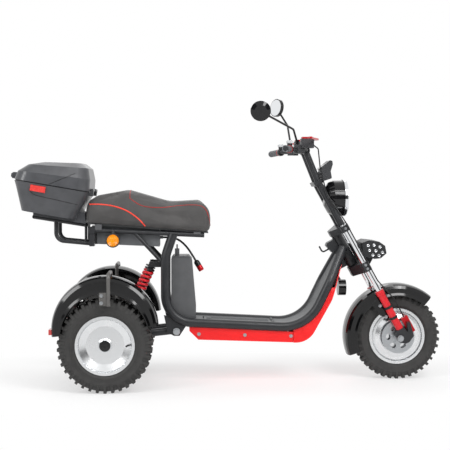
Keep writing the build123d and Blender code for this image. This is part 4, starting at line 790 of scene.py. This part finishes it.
# Faces of the wheels, in millimetres out from the middle plane, and their turned shapes
REAR_WHEEL_Y = 285
REAR_HUB_FACE = 323
HUB_CAP = [(0, -1), (25.5, -1), (25.5, 4), (23, 7), (12, 9), (10, 8), (0, 8)]
VALVE_REACH = 104
VALVE_FACE = 311
VALVE_LEAN = -0.25
VALVE = [(0, 0), (5, 0), (5, 4), (3.6, 6), (3.6, 17), (4.4, 17), (4.4, 27), (0, 28)]
SIDEWALL_RIBS = [[(148, 47), (149, 50.4), (151, 50.8), (152, 48), (148, 47)],
                 [(158, 47), (159, 51.4), (160, 51.6), (161, 48), (158, 47)]]
RIB_STEPS = 96
AXLE_NUT_FACE = 122
AXLE_NUT_RADIUS = 11
DISC_FACE = 66
DISC_BOLTS = 6
DISC_BOLT_CIRCLE = 30
DISC_BOLT_RADIUS = 5


class TRIKE_OT_wheels(bpy.types.Operator):
    """Adds hub caps, valves, sidewall ribs, axle nuts and disc bolts"""

    bl_idname = "trike.wheels"
    bl_label = "Wheel fittings"

    def execute(self, context):
        x, z = REAR_AXLE
        for name, side in (("right", -1), ("left", 1)):
            body = f"rear_wheel_{name}"
            out = (0, side, 0)
            cap = turned(HUB_CAP, at(x, side * REAR_HUB_FACE, z), out)
            piece(f"rear_hub_cap_{name}", [cap], "black", body)
            valve = turned(VALVE, at(x + VALVE_REACH, side * VALVE_FACE, z), (VALVE_LEAN, side, 0))
            piece(f"rear_valve_{name}", [valve], "black", body)
            ribs = [turned(rib, at(x, side * REAR_WHEEL_Y, z), (0, face, 0), RIB_STEPS)
                    for rib in SIDEWALL_RIBS for face in (-1, 1)]
            piece(f"rear_sidewall_ribs_{name}", ribs, "tyre", body)
        x, z = FRONT_AXLE
        nuts = [bolt(at(x, side * AXLE_NUT_FACE, z), (0, side, 0), AXLE_NUT_RADIUS) for side in (-1, 1)]
        piece("front_axle_nuts", nuts, "steel", "steering")
        around = [index * FULL_TURN / DISC_BOLTS for index in range(DISC_BOLTS)]
        places = [at(x + DISC_BOLT_CIRCLE * math.cos(turn), -DISC_FACE, z + DISC_BOLT_CIRCLE * math.sin(turn))
                  for turn in around]
        heads = [bolt(place, OUT, DISC_BOLT_RADIUS) for place in places]
        piece("disc_bolts", heads, "steel", "front_wheel")
        return {"FINISHED"}


# Turned shapes of the lamps and their places, in millimetres
LAMP_STEPS = 64
CUP_STEPS = 24
LAMP_BEZEL = [(81, -14), (89, -12), (91, -6), (90, 0), (86, 3), (82, 1), (81, -14)]
LAMP_BOWL = [(0, 1), (22, 1), (24, 4), (30, 2), (60, 4), (77, 9), (77, 0.6), (0, 0.6)]
SIGNAL_LENS = [(0, 0), (28, 0), (28, 6), (26, 9), (24, 8), (22, 10.5), (20, 9.5), (17, 11.5), (15, 10.5),
               (10, 12), (8, 11), (0, 12)]
SIGNAL_PLACE = (-532, -152, 684)
LED_CUP = [(0, 0), (4, 0), (5, 1.2), (11, 4), (12, 4), (12, -0.5), (0, -0.5)]
LEDS = 6
LED_PITCH = 30
LED_DEPTH = 2
LED_FACING = Vector((0.98, 0, 0.19))
END_CUP_FACE = 95
END_CUP = [(2.5, -1), (2.5, 1), (4.5, 0.5), (6, 2.5), (7, 3), (7.5, 2), (7.5, -1), (2.5, -1)]
END_CUPS = [(683, 655), (712, 657), (740, 648), (690, 632), (720, 630), (752, 622), (706, 609), (735, 607)]


class TRIKE_OT_lamps(bpy.types.Operator):
    """Fits the lamps with bowls, a bezel, cups and ribbed lenses"""

    bl_idname = "trike.lamps"
    bl_label = "Lamps"

    def execute(self, context):
        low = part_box("headlight_lens")[0]
        centre = middle("headlight_lens")
        rim = Vector((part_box("headlight_shell")[1].x, centre.y, centre.z))
        piece("headlight_bezel", [turned(LAMP_BEZEL, rim, (1, 0, 0), LAMP_STEPS)], "chrome", "steering")
        bowl = Vector((low.x, centre.y, centre.z))
        piece("headlight_bowl", [turned(LAMP_BOWL, bowl, (1, 0, 0), LAMP_STEPS)], "chrome", "steering")
        lens_right = turned(SIGNAL_LENS, at(*SIGNAL_PLACE), OUT)
        lenses = piece("ribbed_signal_lenses", [lens_right], "amber", "chassis", both_sides=True)
        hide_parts("signal_lenses")
        bar = middle("light_bar_lens")
        row = bar - LED_FACING * LED_DEPTH * MM
        offsets = [(index - (LEDS - 1) / 2) * LED_PITCH * MM for index in range(LEDS)]
        cups = [turned(LED_CUP, row + Vector((0, offset, 0)), LED_FACING, CUP_STEPS) for offset in offsets]
        piece("light_bar_cups", cups, "chrome", "steering")
        ends = [turned(END_CUP, at(x, -END_CUP_FACE, z), OUT, CUP_STEPS) for x, z in END_CUPS]
        piece("light_bar_end_cups", ends, "chrome", "steering", both_sides=True)
        return {"FINISHED"}


# Where the right half of the bar sweeps back and ends, on the steering, and its fittings, in millimetres
BAR_SWEEP = (-19, -185, 1053)
BAR_END = (-54, -345, 1067)
GRIP_LENGTH = 131
RING_WIDTH = 6
POD_INSET = 29
POD_MIDDLE = 10
GRIP_RING = [(11.5, 0), (18, 0), (18.5, 3), (18, 6), (11.5, 6), (11.5, 0)]
SCREEN = (92, 34, 3)
SCREEN_ROUND = 1
RIDER_EYE = (250, 0, 1300)
UP = (0, 0, 1)
SWITCH_POD = [(11.5, 0), (17, 0), (19, 2), (19, 19), (17, 21), (11.5, 21), (11.5, 0)]
SWITCH_NECK = [(0, 12), (11, 12), (11, 26), (0, 26)]
PUSH_BUTTON = [(0, 26), (13, 26), (14.5, 28), (14.5, 36), (12, 39.5), (0, 41)]


class TRIKE_OT_controls(bpy.types.Operator):
    """Adds grip rings, switch pods, push buttons and the instrument's screen"""

    bl_idname = "trike.controls"
    bl_label = "Controls"

    def execute(self, context):
        end, sweep = steer(*BAR_END), steer(*BAR_SWEEP)
        outward = (end - sweep).normalized()
        grip = end - outward * GRIP_LENGTH * MM
        ring = turned(GRIP_RING, grip - outward * RING_WIDTH * MM, outward)
        piece("grip_rings", [ring], "red_metal", "steering", both_sides=True)
        pod = grip - outward * POD_INSET * MM
        top = pod + outward * POD_MIDDLE * MM
        pods = [turned(SWITCH_POD, pod, outward), turned(SWITCH_NECK, top, UP)]
        piece("switch_pods", pods, "black", "steering", both_sides=True)
        piece("push_buttons", [turned(PUSH_BUTTON, top, UP)], "white", "steering", both_sides=True)
        eye = at(*RIDER_EYE)
        place, normal = surface(NODES["instrument"].data).ray_cast(eye, middle("instrument") - eye)[:2]
        facing = normal.to_track_quat("Z", "Y").to_matrix().to_4x4()
        screen = block(SCREEN, SCREEN_ROUND, Matrix.Translation(place) @ facing)
        piece("instrument_screen", [screen], "shell", "steering")
        return {"FINISHED"}


# Bolt heads on the right side: place in millimetres, direction, half width across the corners
SIDE_BOLTS = [
    (at(-129, -118, 237), OUT, 6), (at(90, -118, 231), OUT, 6), (at(310, -118, 225), OUT, 6),
    (at(-570, -366, 415), OUT, 6), (at(-570, -366, 448), OUT, 6), (at(-235, -125, 251), OUT, 12),
]
STEER_BOLTS = [
    (steer(13, -74, 116), OUT, 6), (steer(13, -74, 177), OUT, 6),
    (steer(40, -121, 372), OUT, 5), (steer(40, -121, 392), OUT, 5), (steer(40, -121, 592), OUT, 5),
]
LEG_AXIS = (40, -100)
LEG_BAND_HEIGHTS = (102, 158)
LEG_BAND = [(17.5, -6), (20.5, -6), (20.5, 6), (17.5, 6), (17.5, -6)]


class TRIKE_OT_fasteners(bpy.types.Operator):
    """Puts in the bolt heads that show, and the bands on the fork legs"""

    bl_idname = "trike.fasteners"
    bl_label = "Fasteners"

    def execute(self, context):
        piece("side_bolts", [bolt(*place) for place in SIDE_BOLTS], "steel", "chassis", both_sides=True)
        piece("fork_bolts", [bolt(*place) for place in STEER_BOLTS], "steel", "steering", both_sides=True)
        bands = [turned(LEG_BAND, steer(*LEG_AXIS, height), STEER_UP) for height in LEG_BAND_HEIGHTS]
        piece("fork_leg_bands", bands, "black", "steering", both_sides=True)
        return {"FINISHED"}


# Ribs along the deck lid, in millimetres
LID_RIBS = 7
LID_RIB = (290, 5, 2.4)
LID_RIB_PITCH = 14
LID_RIB_ROUND = 0.8
# Height in metres from which the ribs are laid on the lid
ABOVE_LID = 1


class TRIKE_OT_lid_ribs(bpy.types.Operator):
    """Adds the foot ribs on the deck lid"""

    bl_idname = "trike.lid_ribs"
    bl_label = "Lid ribs"

    def execute(self, context):
        tree = surface(NODES["deck_lid"].data)
        centre = middle("deck_lid")
        ribs = []
        for index in range(LID_RIBS):
            across = (index - (LID_RIBS - 1) / 2) * LID_RIB_PITCH * MM
            place, normal = tree.ray_cast((centre.x, across, ABOVE_LID), (0, 0, -1))[:2]
            tilt = Matrix.Rotation(math.atan2(normal.x, normal.z), 4, "Y")
            ribs.append(block(LID_RIB, LID_RIB_ROUND, Matrix.Translation(place) @ tilt))
        piece("deck_lid_ribs", ribs, "deck", "deck_lid")
        return {"FINISHED"}


# Lines of the case's groove and lid crease in side view, drawn as thin black cords of painted shade, and its
# seam ring, in millimetres
CASE_GROOVE = [(-913, 921), (-903, 908), (-890, 898), (-840, 886), (-790, 875), (-740, 863), (-693, 852)]
LID_CREASE = [(-822, 948), (-800, 956), (-770, 969), (-735, 984), (-702, 998)]
CASE_SHADE_LINE_RADIUS = 1.4
GASKET = (344, 384, 4.4)
GASKET_WIDTH = 8
GASKET_CORNER = 56


class TRIKE_OT_case_trim(bpy.types.Operator):
    """Gives the top case its seam ring, and black cords of painted shade along its groove and lid crease"""

    bl_idname = "trike.case_trim"
    bl_label = "Case trim"

    def execute(self, context):
        piece("case_gasket", [self.gasket()], "black", "chassis")
        # Black cords along the groove and the crease paint the shade that falls in them
        for node, line, body in (("case_base", CASE_GROOVE, "chassis"), ("case_lid", LID_CREASE, "case_lid")):
            tree = surface(NODES[node].data)
            routes = [side_line(tree, line, side) for side in (-1, 1)]
            show(f"{node}_lines", cord_curve(f"{node}_lines", routes, CASE_SHADE_LINE_RADIUS * MM), "black", body)
        return {"FINISHED"}

    def gasket(self):
        """A flat rounded ring between the case and its lid."""
        bm = bmesh.new()
        bmesh.ops.create_cube(bm, size=1)
        bmesh.ops.scale(bm, vec=[side * MM for side in GASKET], verts=bm.verts)
        corners = [edge for edge in bm.edges if abs(edge.verts[0].co.z - edge.verts[1].co.z) > MM]
        bmesh.ops.bevel(bm, geom=corners, offset=GASKET_CORNER * MM, segments=10, profile=0.5, affect="EDGES",
                        material=-1)
        bm.normal_update()
        caps = [face for face in bm.faces if abs(face.normal.z) > 0.9]
        bmesh.ops.inset_individual(bm, faces=caps, thickness=GASKET_WIDTH * MM)
        loops = list({edge for face in caps for edge in face.edges})
        bmesh.ops.delete(bm, geom=caps, context="FACES_ONLY")
        bmesh.ops.bridge_loops(bm, edges=loops)
        bmesh.ops.transform(bm, matrix=CASE_PLANE, verts=bm.verts)
        return bm


# Studio lamps: name, place and size in metres, power in watts
LAMPS = [
    ("key_softbox", (1.3, -2.4, 2.3), 1.1, 1.1, 40),
    ("fill_softbox", (-2.7, -2.2, 2.0), 1.1, 1.1, 34),
    ("back_softbox", (0.0, 2.6, 2.8), 2.6, 2.6, 24),
    ("front_strip", (-0.2, -1.7, 2.8), 4.4, 0.22, 30),
]
LAMP_AIM = Vector((0, 0, 0.5))
WORLD_LIGHT = 0.55
# The floor's white: half under the trike, so that the shadow is soft, and whole past an oval round it
FLOOR_SIZE = 30
OVAL_SCALE = (0.62, 1.9, 1)
OVAL_START = 0.75
OVAL_END = 1.5
LEAST_WHITE = 0.5
FLAG_GREY = "3a3a3a"
FLAG_PLACE = (0, -6.5, 1.0)
FLAG_HALF_SIZE = (8, 1.6, 1, 1)


class TRIKE_OT_stage(bpy.types.Operator):
    """Sets up the studio floor, lights and camera"""

    bl_idname = "trike.stage"
    bl_label = "Studio"

    def execute(self, context):
        scene = context.scene
        scene.view_settings.view_transform = "Standard"
        self.lay_floor(scene)
        self.hang_flag(scene)
        self.light_world(scene)
        self.hang_lamps(scene)
        self.place_camera(scene)
        return {"FINISHED"}

    def sheet(self, scene, name, size, matrix):
        """A flat sheet that belongs to the studio."""
        mesh = bpy.data.meshes.new(name)
        bm = bmesh.new()
        bmesh.ops.create_grid(bm, x_segments=1, y_segments=1, size=size, matrix=matrix)
        bm.to_mesh(mesh)
        bm.free()
        obj = bpy.data.objects.new(name, mesh)
        scene.collection.objects.link(obj)
        return obj

    def plain_rays(self, tree):
        """One for rays that should meet plain white: from the camera, off gloss and through lenses."""
        path = add(tree, "ShaderNodeLightPath", {})
        shiny = add(tree, "ShaderNodeMath",
                    {0: path.outputs["Is Glossy Ray"], 1: path.outputs["Is Transmission Ray"]},
                    operation="MAXIMUM")
        return add(tree, "ShaderNodeMath", {0: path.outputs["Is Camera Ray"], 1: shiny}, operation="MAXIMUM")

    def lay_floor(self, scene):
        """A white floor that keeps the shadow and fades to plain white far off."""
        floor = self.sheet(scene, "studio_floor", FLOOR_SIZE, Matrix.Identity(4))
        material = bpy.data.materials.new("white_studio_floor")
        material.use_nodes = True
        tree = material.node_tree
        shader = tree.nodes["Principled BSDF"]
        shader.inputs["Base Color"].default_value = scene.trike.floor_colour
        shader.inputs["Roughness"].default_value = 0.6
        place = add(tree, "ShaderNodeTexCoord", {}).outputs["Object"]
        oval = add(tree, "ShaderNodeMapping", {"Vector": place, "Scale": OVAL_SCALE})
        reach = add(tree, "ShaderNodeVectorMath", {0: oval}, operation="LENGTH").outputs["Value"]
        fade = add(tree, "ShaderNodeMapRange",
                   {"Value": reach, "From Min": OVAL_START, "From Max": OVAL_END, "To Min": LEAST_WHITE})
        seen = add(tree, "ShaderNodeMath", {0: fade, 1: self.plain_rays(tree)}, operation="MULTIPLY")
        glow = add(tree, "ShaderNodeEmission", {"Color": (1, 1, 1, 1), "Strength": 1.0})
        add(tree, "ShaderNodeMixShader", {0: seen, 1: shader, 2: glow},
            tree.nodes["Material Output"].inputs["Surface"])
        floor.data.materials.append(material)

    def hang_flag(self, scene):
        """A dark sheet behind the camera that only gloss and metal see, so that they get contrast."""
        upright = Matrix.Translation(FLAG_PLACE) @ Matrix.Rotation(math.radians(90), 4, "X")
        flag = self.sheet(scene, "dark_flag", 1, upright @ Matrix.Diagonal(FLAG_HALF_SIZE))
        material = bpy.data.materials.new("dark_flag_cloth")
        material.use_nodes = True
        tree = material.node_tree
        tree.nodes.remove(tree.nodes["Principled BSDF"])
        add(tree, "ShaderNodeEmission", {"Color": linear(FLAG_GREY), "Strength": 1.0},
            tree.nodes["Material Output"].inputs["Surface"])
        flag.data.materials.append(material)
        flag.visible_camera = False
        flag.visible_diffuse = False
        flag.visible_transmission = False
        flag.visible_shadow = False

    def light_world(self, scene):
        """White to the eye and in gloss, softer as light on the trike."""
        world = bpy.data.worlds.new("white_studio")
        scene.world = world
        world.use_nodes = True
        tree = world.node_tree
        background = tree.nodes["Background"]
        background.inputs["Color"].default_value = (1, 1, 1, 1)
        plain = self.plain_rays(tree)
        add(tree, "ShaderNodeMapRange", {"Value": plain, "To Min": WORLD_LIGHT, "To Max": 1.0},
            background.inputs["Strength"])

    def hang_lamps(self, scene):
        """Large soft boxes on both sides, and a long strip that draws thin highlights."""
        for name, place, length, width, watts in LAMPS:
            light = bpy.data.lights.new(name, "AREA")
            light.shape = "RECTANGLE"
            light.size = length
            light.size_y = width
            light.energy = watts
            obj = bpy.data.objects.new(name, light)
            obj.location = place
            aim = LAMP_AIM - Vector(place)
            obj.rotation_euler = aim.to_track_quat("-Z", "Y").to_euler()
            scene.collection.objects.link(obj)

    def place_camera(self, scene):
        """The camera at the angle of a plain side picture."""
        settings = scene.trike
        camera = bpy.data.cameras.new("side_camera")
        camera.sensor_width = 36
        camera.lens = settings.lens_mm
        obj = bpy.data.objects.new("side_camera", camera)
        obj.location = (settings.camera_along, -settings.camera_distance, settings.camera_height)
        obj.rotation_euler = (math.radians(90) - settings.camera_pitch, 0, -settings.camera_yaw)
        scene.collection.objects.link(obj)
        scene.camera = obj


OPERATORS = [TRIKE_OT_stage, TRIKE_OT_finishes, TRIKE_OT_battery_lead, TRIKE_OT_seat, TRIKE_OT_shocks,
             TRIKE_OT_fender_beads, TRIKE_OT_wheels, TRIKE_OT_lamps, TRIKE_OT_controls, TRIKE_OT_fasteners,
             TRIKE_OT_lid_ribs, TRIKE_OT_case_trim]


class TRIKE_PT_panel(bpy.types.Panel):
    """Lists the steps that dress the trike"""

    bl_idname = "TRIKE_PT_panel"
    bl_label = "Electric trike"
    bl_space_type = "VIEW_3D"
    bl_region_type = "UI"
    bl_category = "Trike"

    def draw(self, context):
        for name in TrikeSettings.__annotations__:
            self.layout.prop(context.scene.trike, name)
        for operator in OPERATORS:
            self.layout.operator(operator.bl_idname)


CLASSES = [TrikeSettings, *OPERATORS, TRIKE_PT_panel]


def register():
    for cls in CLASSES:
        bpy.utils.register_class(cls)
    bpy.types.Scene.trike = bpy.props.PointerProperty(type=TrikeSettings)


def unregister():
    del bpy.types.Scene.trike
    for cls in reversed(CLASSES):
        bpy.utils.unregister_class(cls)


def main():
    register()
    for operator in OPERATORS:
        group, name = operator.bl_idname.split(".")
        getattr(getattr(bpy.ops, group), name)()


if __name__ == "__main__":
    main()
